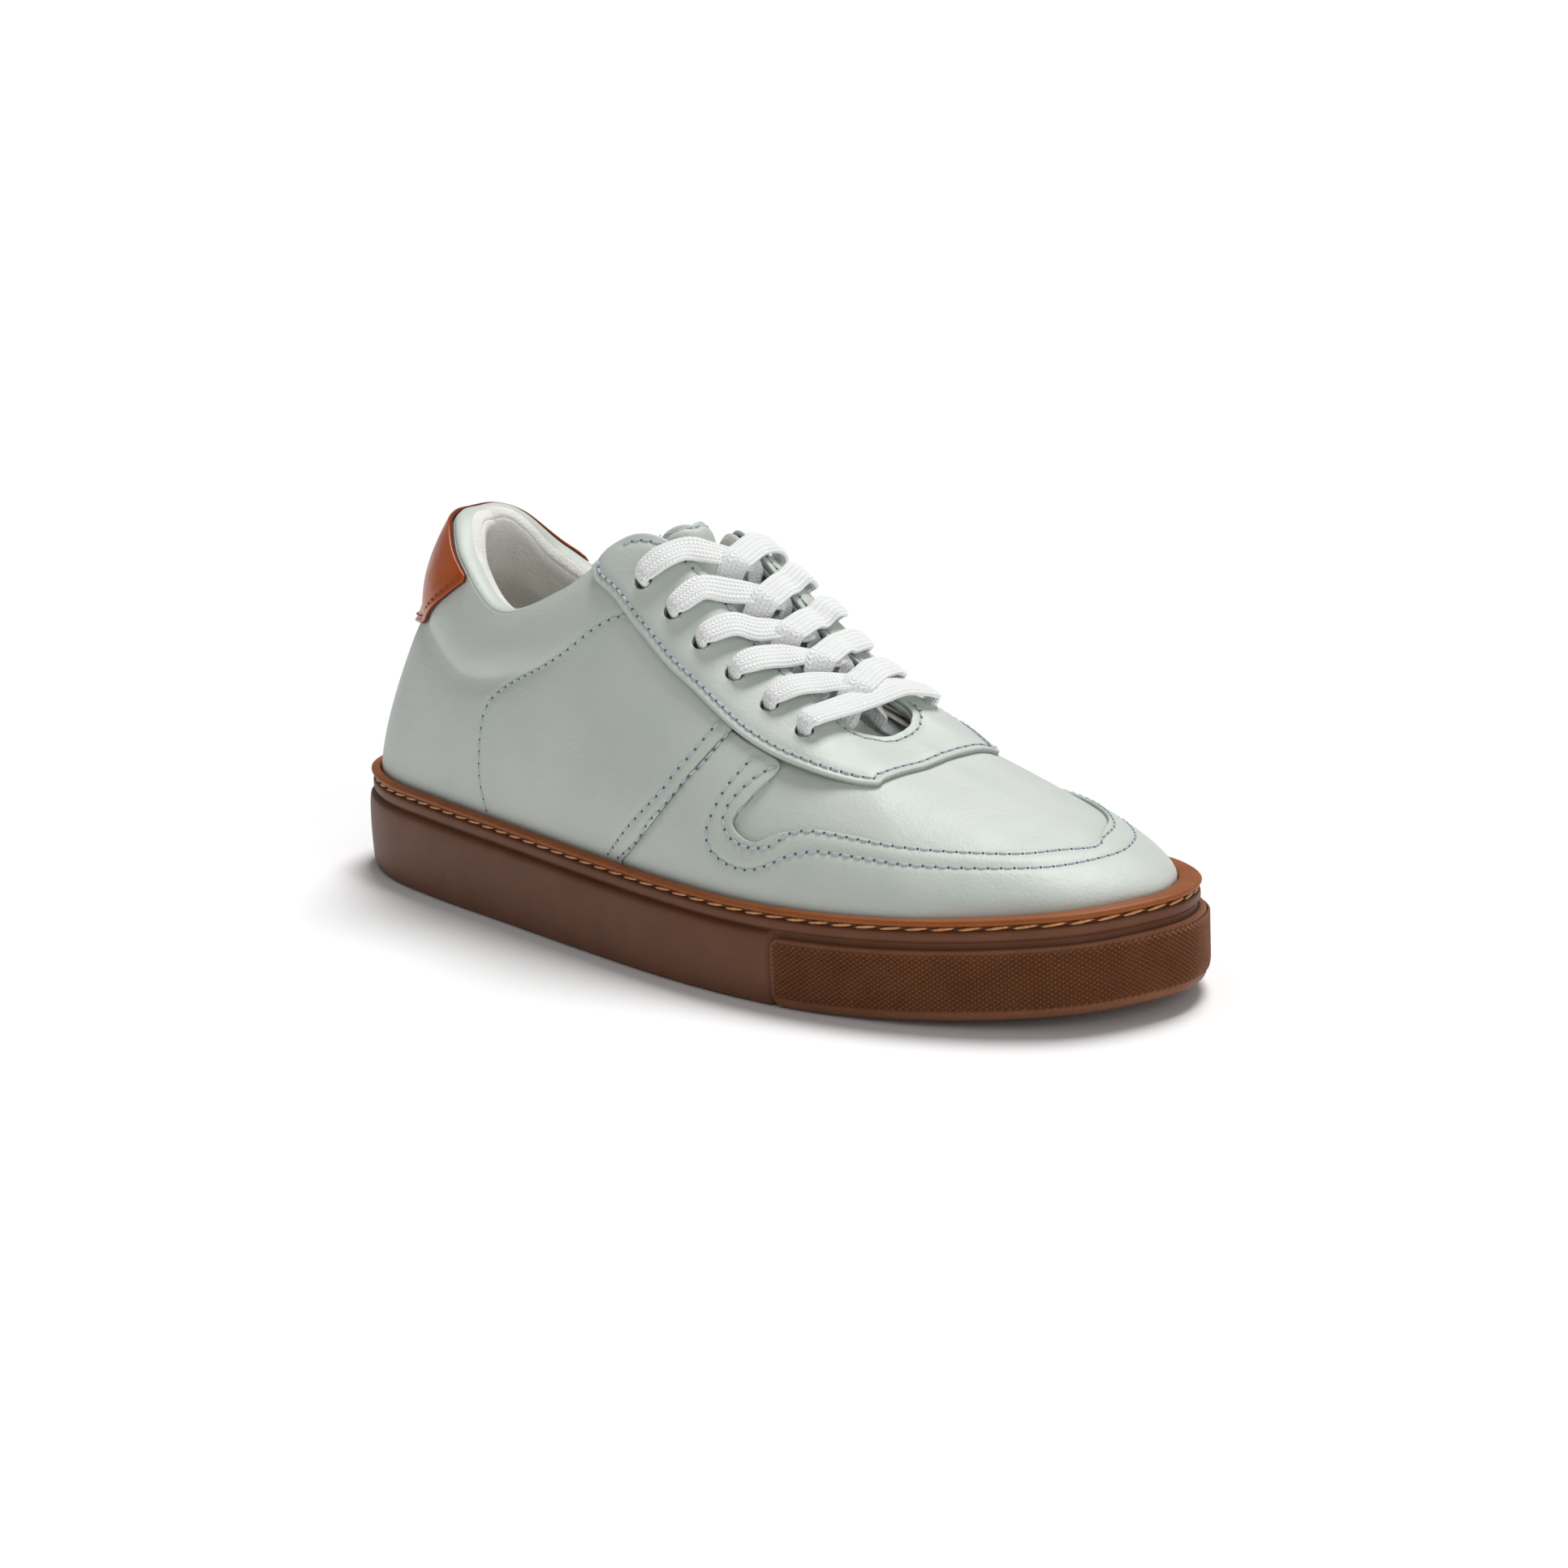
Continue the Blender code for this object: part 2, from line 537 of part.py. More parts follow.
# Tongue
def tongue_face(u, v):
    """The tongue's outside: u from its sewn base to its top, v across from -1 to 1."""
    size = np.array([OUTSOLE_LENGTH / 300, COLLAR_HEIGHT / 104])
    t = u * (len(TONGUE_LINE) - 1)
    line = along(TONGUE_LINE, t) * size
    ahead = along(TONGUE_LINE, t + 0.05) - along(TONGUE_LINE, t - 0.05)
    ahead /= np.linalg.norm(ahead, axis=-1)[..., None]
    sag = along(TONGUE_SAG, t) * MM * v ** 2
    x = line[..., 0] - OUTSOLE_LENGTH / 2 - ahead[..., 1] * sag
    z = line[..., 1] + ahead[..., 0] * sag
    return np.stack([x, along(TONGUE_HALF, t) * MM * v, z], -1)


def tongue_layer(name, depth, thickness, u_from, u_to, reach, finish):
    u, v = np.meshgrid(np.linspace(u_to, u_from, 12), np.linspace(-reach, reach, 9), indexing="ij")
    step = 0.01
    across_way = tongue_face(u, v + step) - tongue_face(u, v - step)
    up_way = tongue_face(np.minimum(u + step, 1), v) - tongue_face(np.maximum(u - step, 0), v)
    normal = np.cross(across_way, up_way)
    normal /= np.linalg.norm(normal, axis=-1)[..., None]
    return sheet(name, tongue_face(u, v) - normal * depth, thickness, finish)


tongue_depth = FORE_LINING + LINING - TONGUE_LINE_STACK
foam_depth = tongue_depth + TONGUE_LEATHER + GAP
tongue_layer("tongue", tongue_depth, TONGUE_LEATHER, 0, 1, 1, WHITE_LEATHER)
tongue_layer("tongue_foam", foam_depth, TONGUE_FOAM, 0.22, 0.97, 0.9, FOAM)
tongue_layer("tongue_lining", foam_depth + TONGUE_FOAM + GAP, LINING, 0.05, 1, 0.98, WHITE_TEXTILE)

# The tongue swings about its sewn base
swing_line = np.array([(x, z) for x, z in reversed(TONGUE_LINE)]) * MM
swing_at = Vector((TONGUE_SWING_AT - OUTSOLE_LENGTH / 2, 0,
                   np.interp(TONGUE_SWING_AT, swing_line[:, 0], swing_line[:, 1])))
hinge = bpy.data.objects.new("tongue_hinge", None)
hinge.location = swing_at
shoe.objects.link(hinge)
for name in ("tongue", "tongue_foam", "tongue_lining"):
    piece = bpy.data.objects[name]
    piece.parent = hinge
    piece.matrix_parent_inverse = Matrix.Translation(-swing_at)


# Lace holes
def hole(side, number):
    s, h = HOLES[number]
    if side == "medial":
        s = ROUND - s
    return np.array(s), np.array(h)


punches = []
for side in SIDES:
    for number in range(len(HOLES)):
        s, h = hole(side, number)
        middle = Vector(at_depth(s, h, 2 * MM))
        axis = Vector(outward(s, h))
        work = bmesh.new()
        turn = axis.to_track_quat("Z", "Y").to_matrix().to_4x4()
        bmesh.ops.create_cone(work, cap_ends=True, segments=10, radius1=HOLE_RADIUS, radius2=HOLE_RADIUS,
                              depth=14 * MM, matrix=Matrix.Translation(middle) @ turn)
        mesh = bpy.data.meshes.new("punch")
        work.to_mesh(mesh)
        work.free()
        punch = bpy.data.objects.new("punch_%s_%d" % (side, number + 1), mesh)
        punch.hide_render = True
        punch.display_type = "WIRE"
        cutters.objects.link(punch)
        punches.append((punch, float(min(s, ROUND - s)), side))


def cut(name, wanted):
    obj = bpy.data.objects[name]
    for punch, s, side in punches:
        if wanted(s, side):
            boolean = obj.modifiers.new(punch.name, "BOOLEAN")
            boolean.operation = "DIFFERENCE"
            boolean.solver = "EXACT"
            boolean.object = punch


QUARTER_HOLES = 7.6
cut("eyestay", lambda s, side: True)
cut("quarter_lateral", lambda s, side: side == "lateral" and s < QUARTER_HOLES + 0.2)
cut("quarter_medial", lambda s, side: side == "medial" and s < QUARTER_HOLES + 0.2)
cut("vamp", lambda s, side: s > QUARTER_HOLES)
cut("vamp_lining", lambda s, side: True)
for side in SIDES:
    cut("eyestay_reinforcement_" + side, lambda s, here, side=side: here == side)


# Lace: one flat ribbon, down into every hole from outside, its ends tucked in beside the tongue
OVER_DEPTH = -(LEATHER + 2 * GAP + CLEARANCE + LACE_THICKNESS / 2)
UNDER_DEPTH = FORE_LINING + LINING + 2 * GAP + LACE_THICKNESS / 2
CROSS_RISE = LACE_THICKNESS + 2 * CLEARANCE
SHIFT = 0.09
TAIL = [(6.45, 0.70), (6.75, 0.58), (7.15, 0.46), (7.6, 0.37), (8.05, 0.31), (8.5, 0.28)]
AGLET_AT = [(8.54, 0.278), (9.02, 0.265)]


def on_side(side, s):
    return np.array(s if side == "lateral" else ROUND - s)


def edge_near(number):
    """Station of the throat edge nearest to a hole."""
    s, h = HOLES[number]
    tries = np.linspace(s - 1.0, s + 1.0, 81)
    gaps = np.linalg.norm(last(tries, 1.0) - last(s, h), axis=-1)
    return tries[np.argmin(gaps)]


def lace_chain(first_side):
    """Knots of half the lace from the bar to its tip: point, face direction, width."""
    other = {"lateral": "medial", "medial": "lateral"}
    knots = []
    side = first_side
    facing = 1
    for number, (s, h) in enumerate(HOLES):
        here = on_side(side, s)
        axis = outward(here, h)
        edge = edge_near(number)
        over_edge = at_depth(on_side(side, edge + SHIFT), 1.0, OVER_DEPTH)
        middle = at_depth(here, h, 0)
        inwards = over_edge - middle
        inwards -= axis * (inwards @ axis)
        inwards /= np.linalg.norm(inwards)
        if number > 0:
            knots.append((over_edge + axis * 0.4 * MM, facing * axis, LACE_WIDTH))
            half_way = at_depth(on_side(side, (s + edge + SHIFT) / 2), (1 + h) / 2, OVER_DEPTH - 1.2 * MM)
            knots.append((half_way, facing * axis, LACE_WIDTH))
        knots.append((middle + inwards * 3.2 * MM - axis * (OVER_DEPTH - 1.1 * MM), facing * axis,
                      LACE_WIDTH * 0.8))
        knots.append((middle - axis * (OVER_DEPTH - 0.3 * MM) + inwards * 0.5 * MM,
                      facing * (axis * 0.7 - inwards * 0.7), LACE_NECK * 1.1))
        knots.append((middle, -facing * inwards, LACE_NECK))
        knots.append((middle - axis * (UNDER_DEPTH - 1.6 * MM), -facing * inwards, LACE_NECK))
        knots.append((middle - axis * (UNDER_DEPTH + 0.2 * MM) + inwards * 1.2 * MM,
                      -facing * (inwards + axis) * 0.7, LACE_NECK))
        facing = -facing
        if number < len(HOLES) - 1:
            step_in = at_depth(on_side(side, s - SHIFT * 0.3), h + 0.07, UNDER_DEPTH + 0.3 * MM)
            knots.append((step_in, facing * axis, LACE_WIDTH * 0.75))
            low_edge = at_depth(on_side(side, edge - SHIFT), 1.0, UNDER_DEPTH + 0.4 * MM)
            far_side = other[side]
            far_edge = at_depth(on_side(far_side, edge - SHIFT), 1.0, OVER_DEPTH)
            way = far_edge - low_edge
            way /= np.linalg.norm(way)
            edge_axis = outward(on_side(side, edge - SHIFT), np.array(1.0))
            under_edge = at_depth(on_side(side, edge - SHIFT), 0.93, UNDER_DEPTH + 1.1 * MM)
            knots.append((under_edge, facing * edge_axis, LACE_WIDTH))
            knots.append((low_edge + way * 3.2 * MM, facing * edge_axis, LACE_WIDTH))
            knots.append((low_edge + way * 5.2 * MM + edge_axis * 3.4 * MM, facing * edge_axis, LACE_WIDTH))
            next_edge = edge_near(number + 1)
            target = at_depth(on_side(far_side, next_edge + SHIFT), 1.0, OVER_DEPTH)
            start = at_depth(on_side(side, edge - SHIFT), 1.0, OVER_DEPTH)
            crown = (start + target) / 2
            up = edge_axis + outward(on_side(far_side, next_edge), np.array(1.0))
            up /= np.linalg.norm(up)
            on_top = side == "lateral"
            crown = crown + up * (CROSS_RISE if on_top else 0)
            knots.append((start * 0.7 + target * 0.3 + up * (0.2 * MM + (CROSS_RISE * 0.7 if on_top else 0)),
                          facing * up, LACE_WIDTH))
            knots.append((crown + up * 0.4 * MM, facing * up, LACE_WIDTH))
            knots.append((start * 0.25 + target * 0.75 + up * (0.8 * MM + (CROSS_RISE * 0.7 if on_top else 0)),
                          facing * up, LACE_WIDTH))
            side = far_side
    for s, h in TAIL:
        spot = on_side(side, s)
        knots.append((at_depth(spot, h, UNDER_DEPTH + 0.9 * MM), facing * outward(spot, np.array(h)),
                      LACE_WIDTH * (0.45 if (s, h) == TAIL[-1] else 0.9)))
    return knots


def ribbon(name, knots, finish):
    """A flat solid that follows the knots."""
    middles = np.array([k[0] for k in knots])
    faces_to = np.array([k[1] for k in knots])
    widths = np.array([k[2] for k in knots])
    t = np.linspace(0, len(knots) - 1, 2 * len(knots) - 1)
    line = along(middles, t)
    facing = along(faces_to, t)
    width = along(widths, t)
    ahead = along(middles, t + 0.1) - along(middles, t - 0.1)
    ahead /= np.linalg.norm(ahead, axis=1)[:, None]
    side = np.cross(ahead, facing)
    side /= np.linalg.norm(side, axis=1)[:, None]
    facing = np.cross(side, ahead)
    rings = []
    for k in range(len(t)):
        across_half = side[k] * width[k] / 2
        thick_half = facing[k] * LACE_THICKNESS / 2
        rings.append(np.array([line[k] - across_half - thick_half, line[k] + across_half - thick_half,
                               line[k] + across_half + thick_half, line[k] - across_half + thick_half]))
    return loft(name, rings, finish)


to_medial_tip = lace_chain("lateral")
to_lateral_tip = lace_chain("medial")
bar_ends = [at_depth(on_side(side, edge_near(0)), 1.0, OVER_DEPTH - 0.6 * MM) for side in ("medial", "lateral")]
bar_up = (outward(on_side("medial", 8.85), np.array(0.9)) + outward(on_side("lateral", 8.85), np.array(0.9))) / 2
bar = [(bar_ends[0] * (1 - k) + bar_ends[1] * k, bar_up, LACE_WIDTH) for k in (0.1, 0.5, 0.9)]
flipped = [(point, facing, width) for point, facing, width in reversed(to_lateral_tip)]
ribbon("lace", flipped + bar + to_medial_tip, WHITE_TEXTILE)

for side in SIDES:
    ends = [at_depth(on_side(side, s), h, UNDER_DEPTH + 1.2 * MM) for s, h in AGLET_AT]
    curve = bpy.data.curves.new("aglet_" + side, "CURVE")
    curve.dimensions = "3D"
    curve.bevel_depth = AGLET_RADIUS
    curve.bevel_resolution = 2
    curve.use_fill_caps = True
    spline = curve.splines.new("POLY")
    spline.points.add(1)
    for point, end in zip(spline.points, ends):
        point.co = (*end, 1)
    aglet = bpy.data.objects.new("aglet_" + side, curve)
    shoe.objects.link(aglet)
    paint(aglet, *CLEAR_TIP)
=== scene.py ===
"""Low court shoe, right foot: the look of each piece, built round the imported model.

The upper is called with a place (s, h): s runs round the shoe in stations, 0 at the heel,
13 at the toe, lateral side first; h runs from the cup's rim (0) to the top edge (1).
"""

import bmesh
import bpy
import numpy as np
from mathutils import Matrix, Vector


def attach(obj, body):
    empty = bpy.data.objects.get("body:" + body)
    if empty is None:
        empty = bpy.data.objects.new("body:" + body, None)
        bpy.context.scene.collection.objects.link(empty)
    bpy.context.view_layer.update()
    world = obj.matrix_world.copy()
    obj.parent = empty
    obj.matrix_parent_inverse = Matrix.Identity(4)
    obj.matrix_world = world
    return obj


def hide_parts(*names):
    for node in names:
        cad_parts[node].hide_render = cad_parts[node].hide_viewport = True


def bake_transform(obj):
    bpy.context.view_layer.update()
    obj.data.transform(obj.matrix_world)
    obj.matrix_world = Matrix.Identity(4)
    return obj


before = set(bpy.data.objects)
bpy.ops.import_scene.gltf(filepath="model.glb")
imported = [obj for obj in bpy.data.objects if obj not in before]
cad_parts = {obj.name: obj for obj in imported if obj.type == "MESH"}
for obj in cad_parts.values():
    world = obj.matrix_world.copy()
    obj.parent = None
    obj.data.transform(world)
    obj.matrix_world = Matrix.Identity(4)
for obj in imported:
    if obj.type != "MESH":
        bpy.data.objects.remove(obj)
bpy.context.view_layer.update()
MM = 0.001


# Cup sole. One moulding of gum rubber: a bottom with rounded edge, a broad band, a dark
# groove, a narrow band, a groove for the stitches and a lighter rolled lip that holds the
# upper. Satin, with a faint moulded grain.
OUTSOLE_LENGTH = 300 * MM
BALL_WIDTH = 106 * MM
WALL_HEEL = 29.5 * MM
WALL_FORE = 25.9 * MM
TOE_SPRING = 5 * MM
LIP_INSET = 4.3 * MM
TOE_LIP_EXTRA = 3.5 * MM
CUP_DEPTH = 12 * MM
BUMPER_THICKNESS = 1.4 * MM
BUMPER_START = 8.4
OUTLINE = [
    (0.000, 0.000), (0.010, -0.101), (0.040, -0.232), (0.107, -0.338), (0.200, -0.393),
    (0.333, -0.436), (0.467, -0.478), (0.583, -0.506), (0.683, -0.506), (0.773, -0.471),
    (0.860, -0.393), (0.933, -0.275), (0.980, -0.137), (1.000, 0.057), (0.990, 0.198),
    (0.953, 0.330), (0.887, 0.434), (0.793, 0.486), (0.683, 0.491), (0.567, 0.443),
    (0.450, 0.373), (0.333, 0.335), (0.200, 0.340), (0.107, 0.325), (0.040, 0.236),
    (0.010, 0.123),
]
ROUND = len(OUTLINE)


def along(points, t, closed=False):
    """Catmull-Rom curve through points at t, counted in points."""
    points = np.asarray(points, float)
    t = np.asarray(t, float)
    count = len(points)
    if closed:
        t = t % count
        start = np.floor(t).astype(int)
        near = [points[(start + k) % count] for k in (-1, 0, 1, 2)]
    else:
        t = np.clip(t, 0, count - 1)
        start = np.minimum(np.floor(t).astype(int), count - 2)
        near = [points[np.clip(start + k, 0, count - 1)] for k in (-1, 0, 1, 2)]
    u = (t - start).reshape(t.shape + (1,) * (points.ndim - 1))
    a, b, c, d = near
    return 0.5 * (2 * b + (c - a) * u + (2 * a - 5 * b + 4 * c - d) * u ** 2
                  + (3 * b - a - 3 * c + d) * u ** 3)


def unit(v):
    return v / np.maximum(np.linalg.norm(v, axis=-1, keepdims=True), 1e-12)


def plan(s, inset):
    """Sole outline at station s, moved in by inset."""
    scale = np.array([OUTSOLE_LENGTH, BALL_WIDTH])
    step = 0.02
    here = along(OUTLINE, s, True) * scale
    ahead, behind = along(OUTLINE, np.asarray(s) + step, True), along(OUTLINE, np.asarray(s) - step, True)
    way = unit((ahead - behind) * scale)
    inward = np.stack([-way[..., 1], way[..., 0]], -1)
    return here + inward * np.asarray(inset)[..., None] - np.array([OUTSOLE_LENGTH / 2, 0])


def lift(x):
    return TOE_SPRING * np.clip((x / OUTSOLE_LENGTH + 0.5 - 0.683) / 0.317, 0, 1) ** 2


def wall(x):
    share = np.clip((x / OUTSOLE_LENGTH + 0.5 - 0.2) / 0.467, 0, 1)
    return WALL_HEEL + (WALL_FORE - WALL_HEEL) * share


def lip_inset(s):
    share = along(OUTLINE, s, True)[..., 0]
    return LIP_INSET + TOE_LIP_EXTRA * np.clip((share - 0.85) / 0.133, 0, 1)


def ring(s, inset, height):
    """A ring of points; height is a function of x."""
    spot = plan(s, np.broadcast_to(inset, s.shape))
    return np.concatenate([spot, height(spot[:, 0])[:, None]], -1)


def on_wall(share):
    return lambda x: lift(x) + wall(x) * share


def over_floor(height):
    return lambda x: lift(x) + height


def below_rim(depth):
    return lambda x: lift(x) + wall(x) - depth


def linear(hex_colour):
    """sRGB hex to linear colour."""
    channels = [int(hex_colour[k:k + 2], 16) / 255 for k in (1, 3, 5)]
    return [c / 12.92 if c <= 0.04045 else ((c + 0.055) / 1.055) ** 2.4 for c in channels] + [1]


def add(tree, kind, values=None, links=None, **settings):
    """A node with its settings, its socket values and its links."""
    node = tree.nodes.new(kind)
    for name, value in settings.items():
        setattr(node, name, value)
    for socket, value in (values or {}).items():
        node.inputs[socket].default_value = value
    for socket, source in (links or {}).items():
        tree.links.new(source, node.inputs[socket])
    return node


def start_material(name, **sockets):
    """A new material, with the shader's own sockets set."""
    material = bpy.data.materials.new(name)
    material.use_nodes = True
    tree = material.node_tree
    shader = tree.nodes["Principled BSDF"]
    for socket, value in sockets.items():
        shader.inputs[socket.replace("_", " ")].default_value = value
    return material, tree, shader


def mottle(tree, shader, where, size, colours, spread=(0.3, 0.7), detail=4.0):
    """Base colour that wanders between two colours over a size in metres."""
    noise = add(tree, "ShaderNodeTexNoise", {"Scale": 1 / size, "Detail": detail}, {"Vector": where})
    ramp = add(tree, "ShaderNodeValToRGB", links={"Fac": noise.outputs["Fac"]})
    for element, place, colour in zip(ramp.color_ramp.elements, spread, colours):
        element.position = place
        element.color = linear(colour)
    tree.links.new(ramp.outputs["Color"], shader.inputs["Base Color"])
    return ramp


def relief(tree, shader, heights, strength=1.0):
    """Bump from a list of (socket, depth in metres), one after another."""
    normal = None
    for socket, depth in heights:
        links = {"Height": socket}
        if normal is not None:
            links["Normal"] = normal
        bump = add(tree, "ShaderNodeBump", {"Strength": strength, "Distance": depth}, links)
        normal = bump.outputs["Normal"]
    tree.links.new(normal, shader.inputs["Normal"])


def gum_rubber(name, colours):
    """Moulded gum rubber: satin, warm, faintly mottled, with a grain of about 0.4 mm."""
    material, tree, shader = start_material(name, Roughness=0.5, IOR=1.5)
    shader.inputs["Specular IOR Level"].default_value = 0.25
    shader.inputs["Subsurface Weight"].default_value = 0.05
    shader.inputs["Subsurface Scale"].default_value = 1.5 * MM
    where = add(tree, "ShaderNodeTexCoord").outputs["Object"]
    mottle(tree, shader, where, 9 * MM, colours)
    grain = add(tree, "ShaderNodeTexNoise", {"Scale": 1 / (0.9 * MM), "Detail": 3.0}, {"Vector": where})
    rough = add(tree, "ShaderNodeMapRange", {"To Min": 0.44, "To Max": 0.58}, {"Value": grain.outputs["Fac"]})
    tree.links.new(rough.outputs["Result"], shader.inputs["Roughness"])
    relief(tree, shader, [(grain.outputs["Fac"], 0.05 * MM)])
    return material


gum_band = gum_rubber("moulded_gum_rubber_band", ("#67402A", "#6F4630"))
gum_lip = gum_rubber("moulded_gum_rubber_lip", ("#8A4A20", "#985626"))


def mesh_piece(name, points, faces, materials, slots=None, smooth=True):
    """A mesh object at the origin, its faces turned outwards."""
    mesh = bpy.data.meshes.new(name)
    mesh.from_pydata([tuple(p) for p in points], [], faces)
    for material in materials:
        mesh.materials.append(material)
    if slots is not None:
        mesh.polygons.foreach_set("material_index", np.asarray(slots, np.int32))
    work = bmesh.new()
    work.from_mesh(mesh)
    bmesh.ops.recalc_face_normals(work, faces=work.faces)
    work.to_mesh(mesh)
    work.free()
    if smooth:
        mesh.shade_smooth()
    piece = bpy.data.objects.new(name, mesh)
    bpy.context.scene.collection.objects.link(piece)
    return piece


def tube_faces(rings, count, wrap_rings=False):
    """Faces between rings of count points each."""
    faces = []
    for i in range(rings if wrap_rings else rings - 1):
        for j in range(count):
            k = (j + 1) % count
            m = (i + 1) % rings
            faces.append((i * count + j, i * count + k, m * count + k, m * count + j))
    return faces


def across(count, first):
    """Faces that fill a ring of mirrored stations with strips from side to side."""
    half = count // 2
    faces = [(first, first + 1, first + count - 1)]
    for j in range(1, half - 1):
        faces.append((first + j, first + j + 1, first + count - j - 1, first + count - j))
    faces.append((first + half - 1, first + half, first + half + 1))
    return faces


def stations(count, breaks=()):
    """Stations spread by length along the lateral side, with extra ones at breaks, then mirrored."""
    fine = np.linspace(0, ROUND / 2, 781)
    spots = plan(fine, np.zeros_like(fine))
    run = np.concatenate([[0], np.cumsum(np.linalg.norm(np.diff(spots, axis=0), axis=1))])
    even = np.interp(np.linspace(0, run[-1], count // 2 + 1), run, fine)
    side = np.sort(np.concatenate([even, breaks]))
    return np.concatenate([side, ROUND - side[-2:0:-1]])


BUMPER_EDGE = 0.02
cup_s = stations(560, [BUMPER_START - BUMPER_EDGE, BUMPER_START + BUMPER_EDGE])
in_bumper = np.minimum(cup_s, ROUND - cup_s) > BUMPER_START
recess = np.where(in_bumper, BUMPER_THICKNESS + 0.25 * MM, 0)
inside = lip_inset(cup_s) - 0.3 * MM
cup_profile = [
    (12 * MM, over_floor(0)), (7 * MM + recess, over_floor(0)), (2.4 * MM + recess, over_floor(0)),
    (1.3 * MM + recess, over_floor(0.35 * MM)), (0.7 * MM + recess, over_floor(1.2 * MM)),
    (0.4 * MM + recess, over_floor(2.6 * MM)), (0.15 * MM + recess, on_wall(0.25)),
    (0.05 * MM + recess, on_wall(0.42)), (0.15 * MM + recess, on_wall(0.60)),
    (0.45 * MM + recess, on_wall(0.70)), (0.9 * MM + recess, on_wall(0.735)),
    (1.9 * MM + recess * 0.4, on_wall(0.752)), (2.5 * MM, on_wall(0.762)),
    (1.95 * MM, on_wall(0.780)), (1.55 * MM, on_wall(0.797)), (1.5 * MM, on_wall(0.83)),
    (1.6 * MM, on_wall(0.868)), (2.1 * MM, on_wall(0.882)), (2.75 * MM, on_wall(0.893)),
    (2.8 * MM, on_wall(0.915)),
    (2.2 * MM, on_wall(0.928)), (1.5 * MM, on_wall(0.937)), (1.15 * MM, on_wall(0.956)),
    (1.2 * MM, on_wall(0.975)), (1.7 * MM, on_wall(0.993)), (2.6 * MM, on_wall(1.0)),
    (inside - 0.55 * MM, on_wall(0.995)), (inside - 0.1 * MM, on_wall(0.975)), (inside, on_wall(0.94)),
    (inside, below_rim(6 * MM)), (inside, below_rim(CUP_DEPTH)), (inside + 8 * MM, below_rim(CUP_DEPTH)),
]
LIP_RING = 20
cup_rings = np.stack([ring(cup_s, inset, height) for inset, height in cup_profile])
fine_t = np.linspace(0, len(cup_profile) - 1, 2 * (len(cup_profile) - 1) + 1)
cup_fine = along(cup_rings, fine_t)
cup_faces = tube_faces(len(fine_t), len(cup_s))
cup_slots = np.repeat(fine_t[:-1] >= LIP_RING, len(cup_s)).astype(int)
last_ring = (len(fine_t) - 1) * len(cup_s)
cup_caps = across(len(cup_s), 0) + across(len(cup_s), last_ring)
cup = mesh_piece("cup_sole", cup_fine.reshape(-1, 3), cup_faces + cup_caps, [gum_band, gum_lip],
                 list(cup_slots) + [0] * len(cup_caps))
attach(cup, "shoe_body")
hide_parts("cupsole")


# Sidewall stitches. Waxed tan thread that sews the cup to the upper: long slanted stitches
# end to end, lying in the groove under the lip all the way round.
STITCH_PITCH = 7.0 * MM
waxed_thread, tree, shader = start_material("waxed_tan_thread", Roughness=0.55)
where = add(tree, "ShaderNodeTexCoord").outputs["Object"]
mottle(tree, shader, where, 1.2 * MM, ("#B77A48", "#D3A272"))
ply = add(tree, "ShaderNodeTexNoise", {"Scale": 1 / (0.35 * MM), "Detail": 2.0}, {"Vector": where})
relief(tree, shader, [(ply.outputs["Fac"], 0.06 * MM)])


def repeat_tree(name, kind, values, axes):
    """Geometry nodes: one small solid at every point, sized and turned by its own attributes."""
    group = bpy.data.node_groups.new(name, "GeometryNodeTree")
    group.interface.new_socket("Geometry", in_out="INPUT", socket_type="NodeSocketGeometry")
    for label in ("Length", "Width", "Height"):
        group.interface.new_socket(label, in_out="INPUT", socket_type="NodeSocketFloat")
    group.interface.new_socket("Material", in_out="INPUT", socket_type="NodeSocketMaterial")
    group.interface.new_socket("Geometry", in_out="OUTPUT", socket_type="NodeSocketGeometry")
    start = add(group, "NodeGroupInput")
    unit_solid = add(group, kind, values)
    size = add(group, "ShaderNodeCombineXYZ", links={
        "X": start.outputs["Length"], "Y": start.outputs["Width"], "Z": start.outputs["Height"]})
    way, face = [add(group, "GeometryNodeInputNamedAttribute", {"Name": label}, data_type="FLOAT_VECTOR")
                 for label in ("way", "face")]
    vectors = {"X": way.outputs["Attribute"], "Z": face.outputs["Attribute"]}
    turn = add(group, "FunctionNodeAxesToRotation", links={
        "Primary Axis": vectors[axes[0]], "Secondary Axis": vectors[axes[1]]},
        primary_axis=axes[0], secondary_axis=axes[1])
    rows = add(group, "GeometryNodeInstanceOnPoints", links={
        "Points": start.outputs["Geometry"], "Instance": unit_solid.outputs["Mesh"],
        "Rotation": turn.outputs["Rotation"], "Scale": size.outputs["Vector"]})
    real = add(group, "GeometryNodeRealizeInstances", links={"Geometry": rows.outputs["Instances"]})
    shaded = add(group, "GeometryNodeSetShadeSmooth", {"Shade Smooth": axes[0] == "X"},
                 {"Geometry": real.outputs["Geometry"]})
    painted = add(group, "GeometryNodeSetMaterial", links={
        "Geometry": shaded.outputs["Geometry"], "Material": start.outputs["Material"]})
    end = add(group, "NodeGroupOutput")
    group.links.new(painted.outputs["Geometry"], end.inputs["Geometry"])
    return group


stitches = repeat_tree("stitches", "GeometryNodeMeshUVSphere", {
    "Segments": 8, "Rings": 5, "Radius": 0.5}, "XZ")


